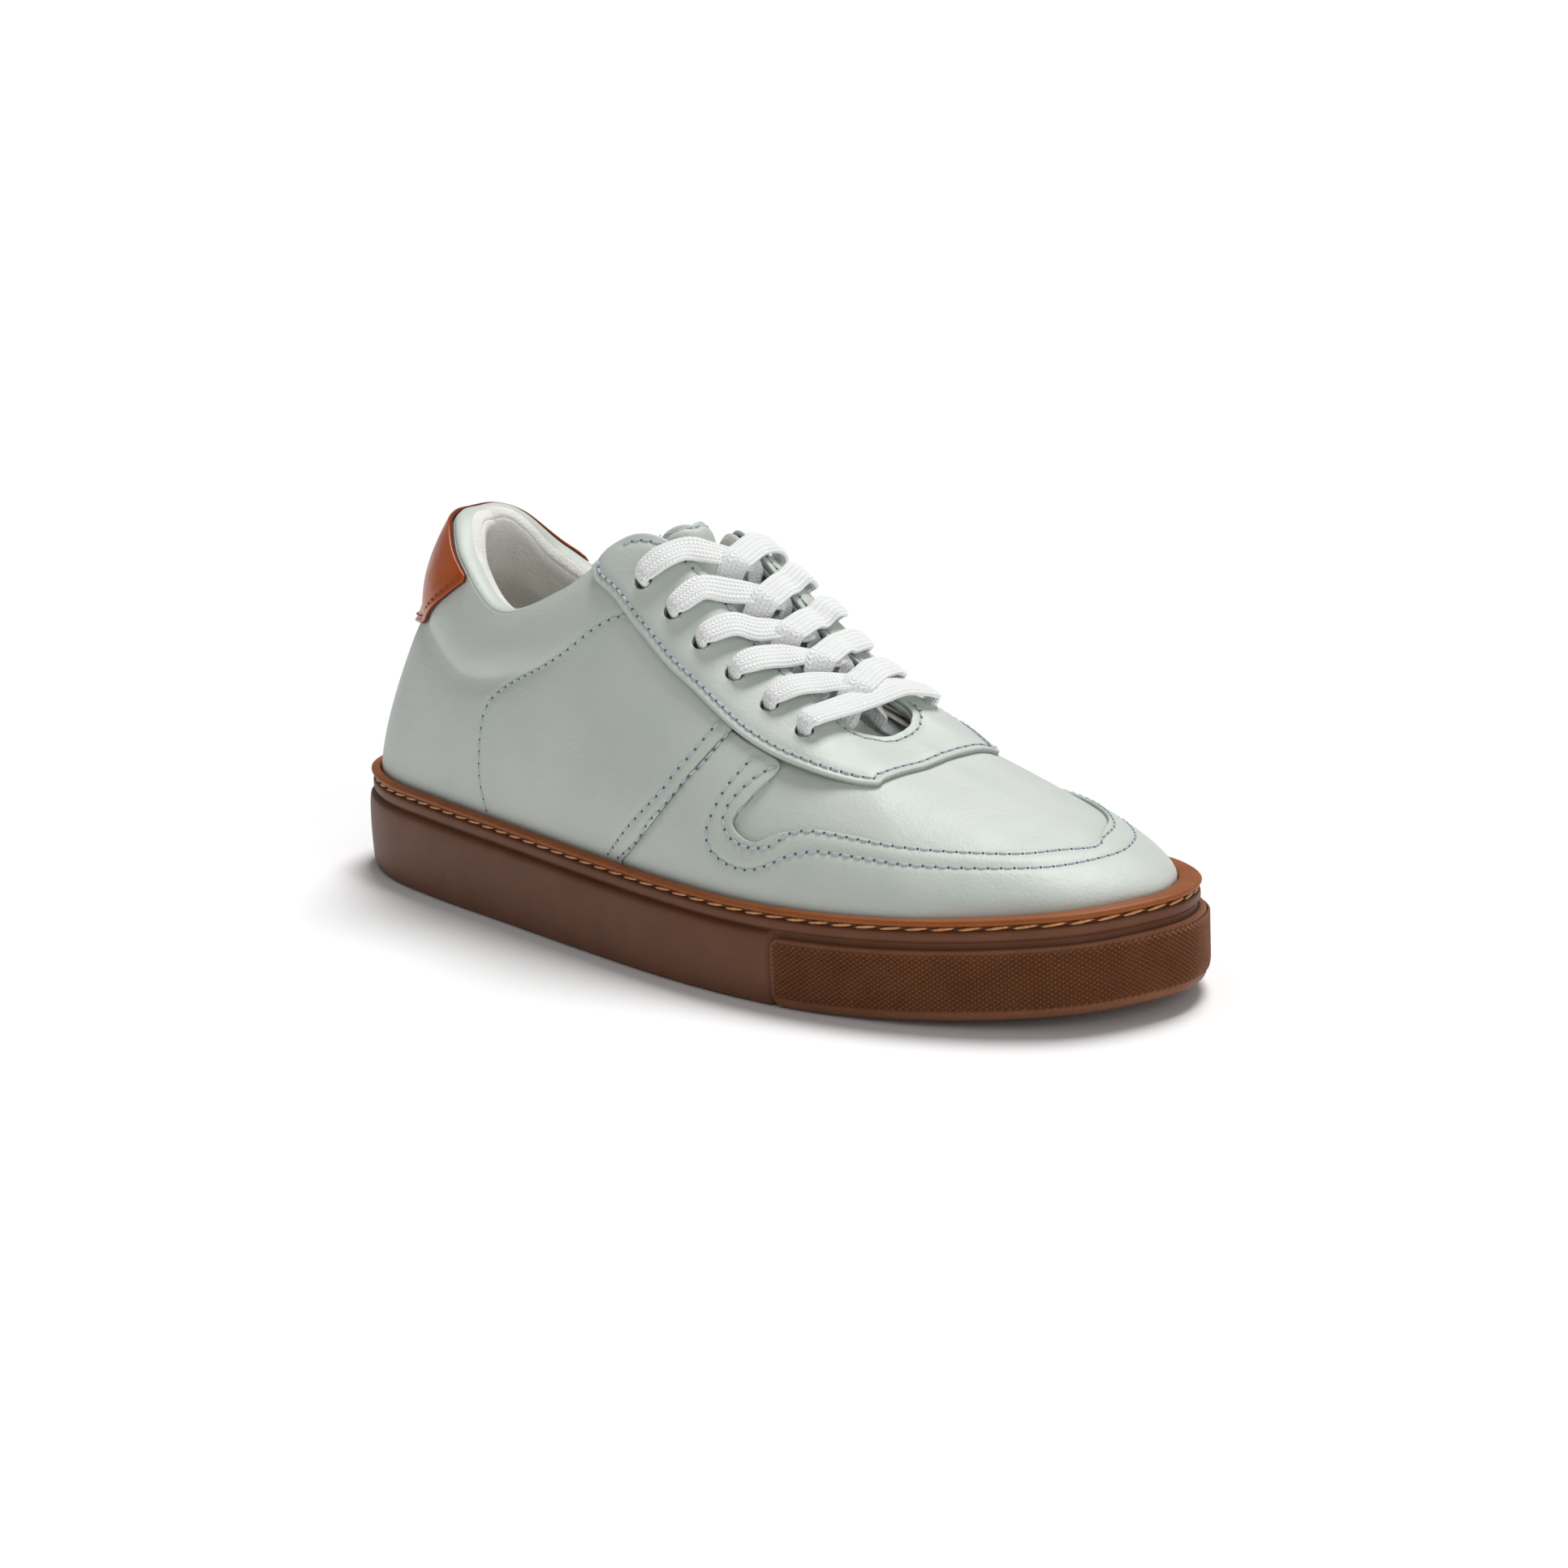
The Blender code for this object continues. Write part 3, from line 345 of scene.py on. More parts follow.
def repeat_on(name, group, spots, ways, faces, sizes, material, body):
    """Runs a repeating tree on points that carry their own way and face, and keeps its mesh."""
    mesh = bpy.data.meshes.new(name)
    mesh.from_pydata([tuple(p) for p in spots], [], [])
    for label, vectors in (("way", ways), ("face", faces)):
        attribute = mesh.attributes.new(label, "FLOAT_VECTOR", "POINT")
        attribute.data.foreach_set("vector", np.ascontiguousarray(vectors, np.float32).ravel())
    base = bpy.data.objects.new(name + "_points", mesh)
    bpy.context.scene.collection.objects.link(base)
    modifier = base.modifiers.new("rows", "NODES")
    modifier.node_group = group
    inputs = {item.name: item.identifier for item in group.interface.items_tree if item.in_out == "INPUT"}
    for label, value in sizes.items():
        modifier[inputs[label]] = value
    modifier[inputs["Material"]] = material
    evaluated = base.evaluated_get(bpy.context.evaluated_depsgraph_get())
    result = bpy.data.meshes.new_from_object(evaluated)
    bpy.data.objects.remove(base)
    result.name = name
    piece = bpy.data.objects.new(name, result)
    bpy.context.scene.collection.objects.link(piece)
    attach(piece, body)
    return piece


def evenly(points, pitch, extra=None):
    """Points at an even pitch along a polyline, with their direction and anything carried along."""
    run = np.concatenate([[0], np.cumsum(np.linalg.norm(np.diff(points, axis=0), axis=1))])
    count = max(2, int(round(run[-1] / pitch)))
    places = (np.arange(count) + 0.5) * run[-1] / count

    def pick(values, at):
        return np.stack([np.interp(at, run, column) for column in values.T], -1)

    spots = pick(points, places)
    ways = unit(pick(points, places + 0.1 * MM) - pick(points, places - 0.1 * MM))
    return spots, ways, None if extra is None else unit(pick(extra, places))


groove = ring(np.linspace(0, ROUND, 1500), 2.15 * MM, on_wall(0.907))
spots, ways, _ = evenly(groove, STITCH_PITCH)
facing = unit(np.cross(ways, np.array([0, 0, 1.0])))
SLANT = 0.09
sidewall = repeat_on("sidewall_stitches", stitches, spots, unit(ways + np.array([0, 0, SLANT])), facing,
                     {"Length": 6.6 * MM, "Width": 0.85 * MM, "Height": 0.75 * MM}, waxed_thread, "shoe_body")
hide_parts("sidewall_thread")


# Toe bumper. A strip of the same gum rubber cemented round the toe, proud of the band, with
# a diamond knurl pressed over its face and plain rounded edges.
KNURL_LENGTH = 1.9 * MM
KNURL_HEIGHT = 1.2 * MM
KNURL_DEPTH = 0.6 * MM
gum_bumper = gum_rubber("knurled_gum_rubber", ("#74482F", "#805236"))
bumper_s = np.linspace(BUMPER_START + 0.03, ROUND - BUMPER_START - 0.03, 260)
bumper_profile = [
    (2.2 * MM, over_floor(0.25 * MM)), (1.2 * MM, over_floor(0.3 * MM)), (0.5 * MM, over_floor(0.9 * MM)),
    (0.15 * MM, over_floor(2.2 * MM)), (0.0, on_wall(0.25)), (0.0, on_wall(0.45)), (0.0, on_wall(0.60)),
    (0.1 * MM, on_wall(0.66)), (0.35 * MM, on_wall(0.695)), (0.9 * MM, on_wall(0.708)),
    (0.7 * MM + BUMPER_THICKNESS, on_wall(0.70)), (0.2 * MM + BUMPER_THICKNESS, on_wall(0.62)),
    (0.2 * MM + BUMPER_THICKNESS, on_wall(0.25)), (0.9 * MM + BUMPER_THICKNESS, over_floor(1.5 * MM)),
]
bumper_rows = np.stack([ring(bumper_s, inset, height) for inset, height in bumper_profile])
bumper_rows = along(bumper_rows, np.linspace(0, len(bumper_profile) - 1, 3 * len(bumper_profile)))
bumper_grid = np.swapaxes(bumper_rows, 0, 1)
rounding = [(0, 0.55), (1, 0.2), (2, 0.05), (-1, 0.55), (-2, 0.2), (-3, 0.05)]
middle_line = bumper_grid.mean(1, keepdims=True)
for row, pull in rounding:
    bumper_grid[row] = bumper_grid[row] * (1 - pull * 0.35) + middle_line[row] * pull * 0.35
count = bumper_grid.shape[1]
bumper_faces = tube_faces(len(bumper_grid), count)
bumper_faces += [tuple(range(count)), tuple((len(bumper_grid) - 1) * count + j for j in range(count))]
bumper = mesh_piece("toe_bumper_strip", bumper_grid.reshape(-1, 3), bumper_faces, [gum_bumper])
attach(bumper, "shoe_body")
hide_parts("toe_bumper")


knurl_points = repeat_tree("knurl", "GeometryNodeMeshCone", {
    "Vertices": 4, "Radius Top": 0.12, "Radius Bottom": 0.5, "Depth": 1.0}, "ZX")
line_s = np.linspace(BUMPER_START + 0.06, ROUND - BUMPER_START - 0.06, 1200)
face_line = ring(line_s, 0.0, on_wall(0.4))
run = np.concatenate([[0], np.cumsum(np.linalg.norm(np.diff(face_line, axis=0), axis=1))])
LOW_SHARE, HIGH_SHARE = 0.1, 0.66
knurl_rows = int((HIGH_SHARE - LOW_SHARE) * WALL_FORE / (KNURL_HEIGHT / 2))
knurl_spots, knurl_ways, knurl_faces = [], [], []
for row in range(knurl_rows):
    share = LOW_SHARE + (HIGH_SHARE - LOW_SHARE) * (row + 0.5) / knurl_rows
    places = np.arange(KNURL_LENGTH * (0.5 + row % 2 * 0.5), run[-1] - KNURL_LENGTH / 2, KNURL_LENGTH)
    s_here = np.interp(places, run, line_s)
    bulge = 0.0 if share > 0.2 else (0.2 - share) ** 2 * 40 * MM
    spot = ring(s_here, bulge, on_wall(share))
    ahead = unit(ring(s_here + 0.01, bulge, on_wall(share)) - spot)
    out_way = unit(np.cross(ahead, np.array([0, 0, 1.0])))
    knurl_spots.append(spot + out_way * KNURL_DEPTH * 0.35)
    knurl_ways.append(ahead)
    knurl_faces.append(out_way)
repeat_on("toe_bumper_knurl", knurl_points, np.concatenate(knurl_spots), np.concatenate(knurl_ways),
          np.concatenate(knurl_faces),
          {"Length": KNURL_LENGTH * 0.96, "Width": KNURL_HEIGHT * 0.96, "Height": KNURL_DEPTH},
          gum_bumper, "shoe_body")


# Quarters. Two panels of smooth off-white leather, one each side, closed at the back under
# the heel tab, with a soft padded swell along the collar and a stitched line round the counter.
COLLAR_HEIGHT = 104 * MM
LEATHER = 1.4 * MM
LAYER_GAP = 0.5 * MM
RIBS = [
    ((0.127, 0.000, 1.000), (-4, 24), (4, -12)),
    ((0.137, -0.071, 1.000), (-4, 24), (4, -12)),
    ((0.162, -0.146, 0.981), (-4, 24), (4, -12)),
    ((0.207, -0.226, 0.904), (-2, 24), (6, -12)),
    ((0.283, -0.283, 0.803), (0, 20), (8, -12)),
    ((0.368, -0.259, 0.885), (1, 24), (10, -14)),
    ((0.442, -0.160, 1.032), (2, 26), (14, -12)),
    ((0.502, -0.104, 0.938), (2, 22), (18, -7)),
    ((0.571, -0.104, 0.772), (1, 18), (20, -6)),
    ((0.635, -0.104, 0.684), (0, 15), (20, -7)),
    ((0.680, -0.090, 0.611), (0, 13), (22, -6)),
    ((0.693, -0.047, 0.587), (0, 11), (26, -7)),
    ((0.700, -0.014, 0.582), (-0.5, 9), (29, -9)),
    ((0.702, 0.014, 0.587), (-1, 8), (31, -10)),
    ((0.700, 0.042, 0.591), (-1, 9), (27, -9.5)),
    ((0.695, 0.075, 0.601), (-1, 10), (22, -8)),
    ((0.680, 0.108, 0.630), (-1, 11), (17, -8)),
    ((0.635, 0.104, 0.684), (-1, 12), (14, -8)),
    ((0.571, 0.104, 0.769), (0, 17), (15, -8)),
    ((0.502, 0.104, 0.923), (1, 22), (15, -7)),
    ((0.440, 0.156, 0.990), (1, 26), (12, -11)),
    ((0.363, 0.264, 0.875), (1, 24), (9, -13)),
    ((0.240, 0.274, 0.784), (0, 20), (7, -12)),
    ((0.173, 0.217, 0.865), (-2, 24), (6, -12)),
    ((0.145, 0.137, 0.966), (-4, 24), (4, -12)),
    ((0.132, 0.071, 1.000), (-4, 24), (4, -12)),
]
QUARTER_FRONT = [(6.36, -1.0), (6.36, 0.0), (7.75, 0.57), (8.1, 1.0)]


def last(s, h):
    """The upper's outside at (s, h)."""
    s, h = np.broadcast_arrays(np.asarray(s, float), np.asarray(h, float))
    rim_plan = plan(s, lip_inset(s))
    x = rim_plan[..., 0]
    rim = np.concatenate([rim_plan, (lift(x) + wall(x))[..., None]], -1)
    size = np.array([OUTSOLE_LENGTH, BALL_WIDTH, COLLAR_HEIGHT])
    top = along([r[0] for r in RIBS], s, True) * size - np.array([OUTSOLE_LENGTH / 2, 0, 0])
    low = along([r[1] for r in RIBS], s, True) * MM
    high = along([r[2] for r in RIBS], s, True) * MM
    out = unit(rim[..., :2] - top[..., :2])
    a = rim + np.concatenate([out * low[..., :1], low[..., 1:]], -1)
    b = top + np.concatenate([out * high[..., :1], high[..., 1:]], -1)
    k = np.clip(h, 0, 1)[..., None]
    point = rim * (1 - k) ** 3 + 3 * a * k * (1 - k) ** 2 + 3 * b * k ** 2 * (1 - k) + top * k ** 3
    point[..., 2] += np.minimum(h, 0) * CUP_DEPTH
    return point


def outward(s, h):
    """Outward normal of the last at (s, h)."""
    step = 0.02
    s, h = np.broadcast_arrays(np.asarray(s, float), np.asarray(h, float))
    above = np.where(h > 0, np.minimum(h, 1 - step), h)
    sideways = last(s + step, above) - last(s - step, above)
    up = last(s, above + step) - last(s, above - step)
    return unit(np.cross(sideways, up))


def swell(s, h):
    """How far the padded collar swells outwards round the heel."""
    near = np.minimum(s % ROUND, ROUND - s % ROUND)
    reach = np.clip((6.1 - near) / 1.6, 0, 1)
    rise = np.clip((h - 0.60) / 0.40, 0, 1)
    valley = np.exp(-((h - 0.585) / 0.07) ** 2)
    return reach * (1.7 * np.sin(np.pi * rise ** 0.8) - 0.7 * valley) * MM


def at_depth(s, h, depth):
    """A point of a layer whose outside lies depth under the last."""
    s, h = np.broadcast_arrays(np.asarray(s, float), np.asarray(h, float))
    return last(s, h) - outward(s, h) * np.asarray(depth)[..., None]


def skin(s, h, depth):
    """As at_depth, with the collar's swell."""
    s, h = np.broadcast_arrays(np.asarray(s, float), np.asarray(h, float))
    return at_depth(s, h, depth - swell(s, h))


def leather(name, colours, roughness=0.47, coat=0.0, grain=0.05):
    """Corrected-grain leather: smooth, faint pores under 1 mm, soft long wrinkles."""
    material, tree, shader = start_material(name, Roughness=roughness, IOR=1.5)
    shader.inputs["Coat Weight"].default_value = coat
    shader.inputs["Coat Roughness"].default_value = 0.25
    shader.inputs["Specular IOR Level"].default_value = 0.4
    where = add(tree, "ShaderNodeTexCoord").outputs["Object"]
    mottle(tree, shader, where, 22 * MM, colours, spread=(0.35, 0.68))
    pores = add(tree, "ShaderNodeTexVoronoi", {"Scale": 1 / (0.9 * MM)}, {"Vector": where})
    folds = add(tree, "ShaderNodeTexNoise", {"Scale": 1 / (7 * MM), "Detail": 5.0}, {"Vector": where})
    rough = add(tree, "ShaderNodeMapRange", {"To Min": roughness - 0.05, "To Max": roughness + 0.08},
                {"Value": folds.outputs["Fac"]})
    tree.links.new(rough.outputs["Result"], shader.inputs["Roughness"])
    relief(tree, shader, [(pores.outputs["Distance"], grain * MM), (folds.outputs["Fac"], 0.25 * MM)])
    return material


def cut_edge(name, colours):
    """The raw cut side of leather: a fuzzy fibrous core, duller than the face."""
    material, tree, shader = start_material(name, Roughness=0.95)
    where = add(tree, "ShaderNodeTexCoord").outputs["Object"]
    mottle(tree, shader, where, 0.6 * MM, colours)
    fibre = add(tree, "ShaderNodeTexNoise", {"Scale": 1 / (0.3 * MM), "Detail": 4.0}, {"Vector": where})
    relief(tree, shader, [(fibre.outputs["Fac"], 0.2 * MM)])
    return material


white_leather = leather("smooth_white_leather", ("#C8CFC8", "#CDD3CC"))
white_edge = cut_edge("raw_cut_white_leather", ("#A3AEA8", "#BAC3BD"))


def refine(values, share=0.25):
    """Extra lines next to both ends of a grid, so that its edges can be rounded."""
    first = values[0] * (1 - share) + values[1] * share
    final = values[-1] * (1 - share) + values[-2] * share
    return np.concatenate([values[:1], first[None], values[1:-1], final[None], values[-1:]])


def sheet_faces(rows, columns):
    """Faces of a closed sheet: its outside, the same again for its inside, and the rim between."""
    shift = rows * columns
    outside = [(a, a + 1, a + columns + 1, a + columns)
               for i in range(rows - 1) for a in range(i * columns, i * columns + columns - 1)]
    inside = [tuple(v + shift for v in reversed(face)) for face in outside]
    loop = [(i, 0) for i in range(rows)] + [(rows - 1, j) for j in range(1, columns)]
    loop += [(i, columns - 1) for i in reversed(range(rows - 1))]
    loop += [(0, j) for j in reversed(range(1, columns - 1))]
    ids = [i * columns + j for i, j in loop]
    rim = [(a, b, b + shift, a + shift) for a, b in zip(ids, ids[1:] + ids[:1])]
    return outside, inside, rim


def panel(name, grid, surface, depth, thickness, finishes, seams=()):
    """A sheet of leather over a grid of (s, h), its edges rounded, drawn in along its seams."""
    grid = refine(grid)
    grid = np.swapaxes(refine(np.swapaxes(grid, 0, 1)), 0, 1)
    rows, columns = grid.shape[:2]
    s, h = grid[..., 0], grid[..., 1]
    under = depth(s, h) if callable(depth) else np.full((rows, columns), depth)
    edge = np.zeros((rows, columns))
    edge[[0, -1]] = edge[:, [0, -1]] = 0.4 * MM
    outer = surface(s, h, under + edge)
    inner = surface(s, h, under + thickness)
    for seam in seams:
        flat = outer.reshape(-1, 3)
        gap = np.full(len(flat), 1.0)
        for start in range(0, len(seam), 200):
            piece = seam[start:start + 200]
            gap = np.minimum(gap, np.linalg.norm(flat[:, None] - piece[None], axis=2).min(1))
        dip = 0.3 * MM * np.exp(-(gap / (1.3 * MM)) ** 2)
        outer = outer - outward(s, h) * dip.reshape(rows, columns)[..., None]
    outside, inside, rim = sheet_faces(rows, columns)
    faces = outside + inside + rim
    slots = [0] * len(outside) + [1] * (len(inside) + len(rim))
    points = np.concatenate([outer.reshape(-1, 3), inner.reshape(-1, 3)])
    piece = mesh_piece(name, points, faces, finishes, slots)
    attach(piece, "shoe_body")
    return piece


def medial(line):
    return [(ROUND - s, h) for s, h in line]


def both_sides(line):
    """A lateral line that ends at the toe, carried on to the medial side."""
    return line + [(ROUND - s, h) for s, h in reversed(line[:-1])]


def seam_line(line, depth, surface=skin, count=500, inset=0.0):
    """A seam as points and outward directions, at a depth, moved sideways by inset."""
    place = along(line, np.linspace(0, len(line) - 1, count))
    if callable(depth):
        depth = depth(place[:, 0], place[:, 1])
    points = surface(place[:, 0], place[:, 1], depth)
    faces = outward(place[:, 0], place[:, 1])
    ways = unit(np.gradient(points, axis=0))
    return points + np.cross(faces, ways) * inset, faces


COLLAR_SEAM = [(6.15, 0.69), (5.78, 0.66), (5.45, 0.62), (5.05, 0.59), (4.78, 0.555), (4.6, 0.50),
               (4.54, 0.43), (4.55, 0.35), (4.58, 0.26), (4.62, 0.14), (4.7, 0.01)]
LAP_SEAMS = [
    [(7.58, 0.565), (7.28, 0.43), (7.05, 0.34), (6.88, 0.27), (6.65, 0.19), (6.43, 0.11), (6.2, 0.01)],
    [(7.73, 0.56), (7.43, 0.42), (7.18, 0.33), (6.95, 0.24), (6.75, 0.17), (6.58, 0.09), (6.33, 0.01)],
]
sides = {"lateral": lambda line: line, "medial": medial}
sewing = {"spots": [], "ways": [], "faces": []}


def sew(points, faces, pitch):
    """Notes a row of upper stitches for the sewing section."""
    spots, ways, facing = evenly(points, pitch, faces)
    sewing["spots"].append(spots)
    sewing["ways"].append(ways)
    sewing["faces"].append(facing)


UPPER_PITCH = 3.3 * MM
for side, turn in sides.items():
    seams = []
    for line in [COLLAR_SEAM] + LAP_SEAMS:
        points, faces = seam_line(turn(line), 0.0)
        seams.append(points)
        sew(points, faces, UPPER_PITCH)
    rows = np.linspace(0.004, 1, 230)
    heights = np.concatenate([np.linspace(-0.5, 0, 4)[:-1], np.linspace(0, 1, 76)])
    edge_s = np.interp(heights, [p[1] for p in QUARTER_FRONT], [p[0] for p in QUARTER_FRONT])
    s_grid = rows[:, None] * edge_s[None, :]
    if side == "medial":
        s_grid = ROUND - s_grid[::-1]
    grid = np.stack([s_grid, np.broadcast_to(heights, s_grid.shape)], -1)
    quarter = panel("quarter_panel_" + side, grid, skin, 0.0, LEATHER, [white_leather, white_edge], seams)
    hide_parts("quarter_" + side)


# Vamp. The toe box leather that shows in the overlay's window and runs back under the eyestay.
UNDERLAY = LEATHER + LAYER_GAP
WINDOW_EDGE = [(8.45, 0.56), (8.05, 0.39), (7.83, 0.28), (8.1, 0.24), (8.55, 0.32), (9.2, 0.375),
               (10.5, 0.37), (11.8, 0.385), (13.0, 0.37)]
vamp_h = np.linspace(0.1, 1.0, 70)
vamp_s = np.interp(vamp_h, [p[1] for p in QUARTER_FRONT], [p[0] for p in QUARTER_FRONT]) + 0.36
vamp_rows = np.linspace(0, 1, 230)
vamp_grid = vamp_s[None, :] + (ROUND - 2 * vamp_s)[None, :] * vamp_rows[:, None]
vamp = panel("vamp_panel", np.stack([vamp_grid, np.broadcast_to(vamp_h, vamp_grid.shape)], -1), skin,
             UNDERLAY - 0.45 * MM, LEATHER, [white_leather, white_edge])
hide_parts("vamp")


# Forefoot overlay. The band of leather round the toe, from lap seam to lap seam, with a cut
# window over the toe box and two rows of stitches following it.
OVERLAY_OUTER = [(8.1, 0.54), (7.93, 0.47), (7.73, 0.38), (7.58, 0.29), (7.5, 0.22), (7.53, 0.17),
                 (7.65, 0.14), (7.85, 0.125), (8.05, 0.13), (8.25, 0.16), (8.53, 0.22),
                 (8.72, 0.25), (8.95, 0.275), (9.35, 0.285), (10.0, 0.283), (11.0, 0.283), (12.0, 0.29), (13.0, 0.30)]
OVERLAY_INNER = [(8.4, 0.545), (8.13, 0.47), (7.93, 0.40), (7.79, 0.34), (7.72, 0.29), (7.74, 0.25),
                 (7.83, 0.225), (8.0, 0.215), (8.18, 0.225), (8.35, 0.25), (8.55, 0.305),
                 (8.72, 0.335), (8.97, 0.355), (9.4, 0.365), (10.2, 0.365), (11.25, 0.36), (12.3, 0.37), (13.0, 0.355)]
(_, _), (SEAM_FOOT, _), (SEAM_TOP, SEAM_TOP_H), (_, _) = QUARTER_FRONT
LAP_STEPS = [(-0.3, 1.9), (-0.1, 1.9), (-0.02, 1.5), (0.03, 0.3), (0.12, 0.0)]
lap_tops = [(SEAM_TOP + step, SEAM_TOP_H) for step, _ in LAP_STEPS]
lap_lows = [SEAM_FOOT + step for step, _ in LAP_STEPS]
FRONT_COUNT = 150
front_u = np.linspace(0, 1, FRONT_COUNT)[1:]
front_tops = along([lap_tops[-1]] + WINDOW_EDGE, front_u * len(WINDOW_EDGE))
LOW_STATIONS = [lap_lows[-1], 6.85, 7.05, 7.3, 7.75, 8.4, 9.3, 10.6, 11.8, 13.0]
front_lows = along(LOW_STATIONS, front_u * (len(LOW_STATIONS) - 1))
half_tops = [np.array(top) for top in lap_tops] + list(front_tops)
half_lows = lap_lows + list(front_lows)
half_depths = [depth * MM for _, depth in LAP_STEPS] + [0.0] * len(front_lows)
all_tops = np.array(half_tops + [np.array([ROUND - t[0], t[1]]) for t in reversed(half_tops[:-1])])
all_lows = np.array(half_lows + [ROUND - low for low in reversed(half_lows[:-1])])
all_depths = np.array(half_depths + list(reversed(half_depths[:-1])))
shares = np.linspace(0, 1, 44)
overlay_s = all_lows[:, None] + (all_tops[:, :1] - all_lows[:, None]) * shares
overlay_h = all_tops[:, 1:] * shares
tuck = np.array([-0.5, -0.25])
overlay_s = np.concatenate([np.repeat(overlay_s[:, :1], 2, 1), overlay_s], 1)
overlay_h = np.concatenate([overlay_h[:, :1] + tuck, overlay_h], 1)


def lap_depth(s, h):
    """Depth row by row, refined the same way as the grid's ends."""
    return np.broadcast_to(refine(all_depths[:, None]), s.shape)


seams = []
for line in (both_sides(OVERLAY_OUTER), both_sides(OVERLAY_INNER)):
    points, faces = seam_line(line, 0.0, count=1500)
    seams.append(points)
    sew(points, faces, UPPER_PITCH)
overlay = panel("forefoot_overlay_panel", np.stack([overlay_s, overlay_h], -1), skin, lap_depth, LEATHER,
                [white_leather, white_edge], seams)
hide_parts("forefoot_overlay")


# Eyestay. One leather facing round the throat, cut square across the toe box, stitched just
# inside its edge and again beside the throat, with six punched lace holes a side.
EYESTAY_SIDE = [(5.5, 0.95), (5.7, 0.82), (6.15, 0.69), (6.45, 0.64), (6.8, 0.60), (7.2, 0.58), (7.6, 0.57),
                (8.1, 0.568), (8.5, 0.57), (8.9, 0.58), (9.25, 0.60)]
EYESTAY_FRONT = 76 * MM


def height_at_front(s):
    """Height on the last at station s where its outside crosses the eyestay's straight front cut."""
    low, high = 0.3, 0.98
    for _ in range(30):
        middle = (low + high) / 2
        low, high = (middle, high) if last(s, middle)[0] > EYESTAY_FRONT else (low, middle)
    return (low + high) / 2


FRONT_STATIONS = np.linspace(9.95, ROUND / 2, 14)
EYESTAY_EDGE = EYESTAY_SIDE + [(s, height_at_front(s)) for s in FRONT_STATIONS]
EYESTAY_TOP = [(5.62, 1.0), (5.8, 1.0), (6.15, 1.0), (6.4, 1.0), (6.75, 1.0), (7.15, 1.0), (7.55, 1.0),
               (8.1, 1.0), (8.5, 1.0), (9.0, 1.0), (9.5, 1.0)] + [(s, 1.0) for s in FRONT_STATIONS]
EYESTAY_DEPTH = -(LEATHER + LAYER_GAP)
TOE_BOX_DEPTH = 0.0 * MM


def eyestay_depth(s, h):
    """On the quarters the eyestay lies a layer proud; across the toe box it comes down on the vamp."""
    forward = np.clip((np.minimum(s, ROUND - s) - 8.75) / 1.0, 0, 1)
    forward = forward * forward * (3 - 2 * forward)
    return EYESTAY_DEPTH + (TOE_BOX_DEPTH - EYESTAY_DEPTH) * forward


HOLES = [(8.85, 0.73), (8.28, 0.745), (7.7, 0.74), (7.2, 0.73), (6.75, 0.755), (6.28, 0.80)]
HOLE_RADIUS = 2.5 * MM
edge_line, top_line = both_sides(EYESTAY_EDGE), both_sides(EYESTAY_TOP)
stay_u = np.linspace(0, len(edge_line) - 1, 460)
stay_v = np.linspace(0, 1, 36)[None, :, None]
stay_low, stay_top = along(edge_line, stay_u)[:, None], along(top_line, stay_u)[:, None]
stay_grid = stay_low + (stay_top - stay_low) * stay_v
seams = []
outer_row, outer_faces = seam_line(edge_line, eyestay_depth, count=1500, inset=2.3 * MM)
throat_row, throat_faces = seam_line(top_line[1:-1], eyestay_depth, count=1500, inset=-2.4 * MM)
for points, faces in ((outer_row, outer_faces), (throat_row, throat_faces)):
    seams.append(points)
    sew(points, faces, 2.9 * MM)
eyestay = panel("eyestay_facing", stay_grid, skin, eyestay_depth, LEATHER, [white_leather, white_edge], seams)
work = bmesh.new()
for s, h in HOLES:
    for spot in (s, ROUND - s):
        axis = Vector(outward(spot, h))
        place = Vector(at_depth(np.array(spot), np.array(h), 1.5 * MM))
        turned = axis.to_track_quat("Z", "Y").to_matrix().to_4x4()
        turned.translation = place
        bmesh.ops.create_cone(work, cap_ends=True, segments=28, radius1=HOLE_RADIUS, radius2=HOLE_RADIUS,
                              depth=14 * MM, matrix=turned)
punch_mesh = bpy.data.meshes.new("punches")
work.to_mesh(punch_mesh)
work.free()
punch_mesh.materials.append(white_leather)
punch_mesh.materials.append(white_edge)
punch_mesh.polygons.foreach_set("material_index", np.ones(len(punch_mesh.polygons), np.int32))
punches = bpy.data.objects.new("punches", punch_mesh)
bpy.context.scene.collection.objects.link(punches)
for piece in (eyestay, bpy.data.objects["vamp_panel"], bpy.data.objects["quarter_panel_lateral"],
              bpy.data.objects["quarter_panel_medial"]):
    boolean = piece.modifiers.new("lace_holes", "BOOLEAN")
    boolean.operation = "DIFFERENCE"
    boolean.solver = "EXACT"
    boolean.object = punches
    bpy.context.view_layer.update()
    cut = bpy.data.meshes.new_from_object(piece.evaluated_get(bpy.context.evaluated_depsgraph_get()))
    piece.modifiers.clear()
    piece.data = cut
bpy.data.objects.remove(punches)
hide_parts("eyestay")


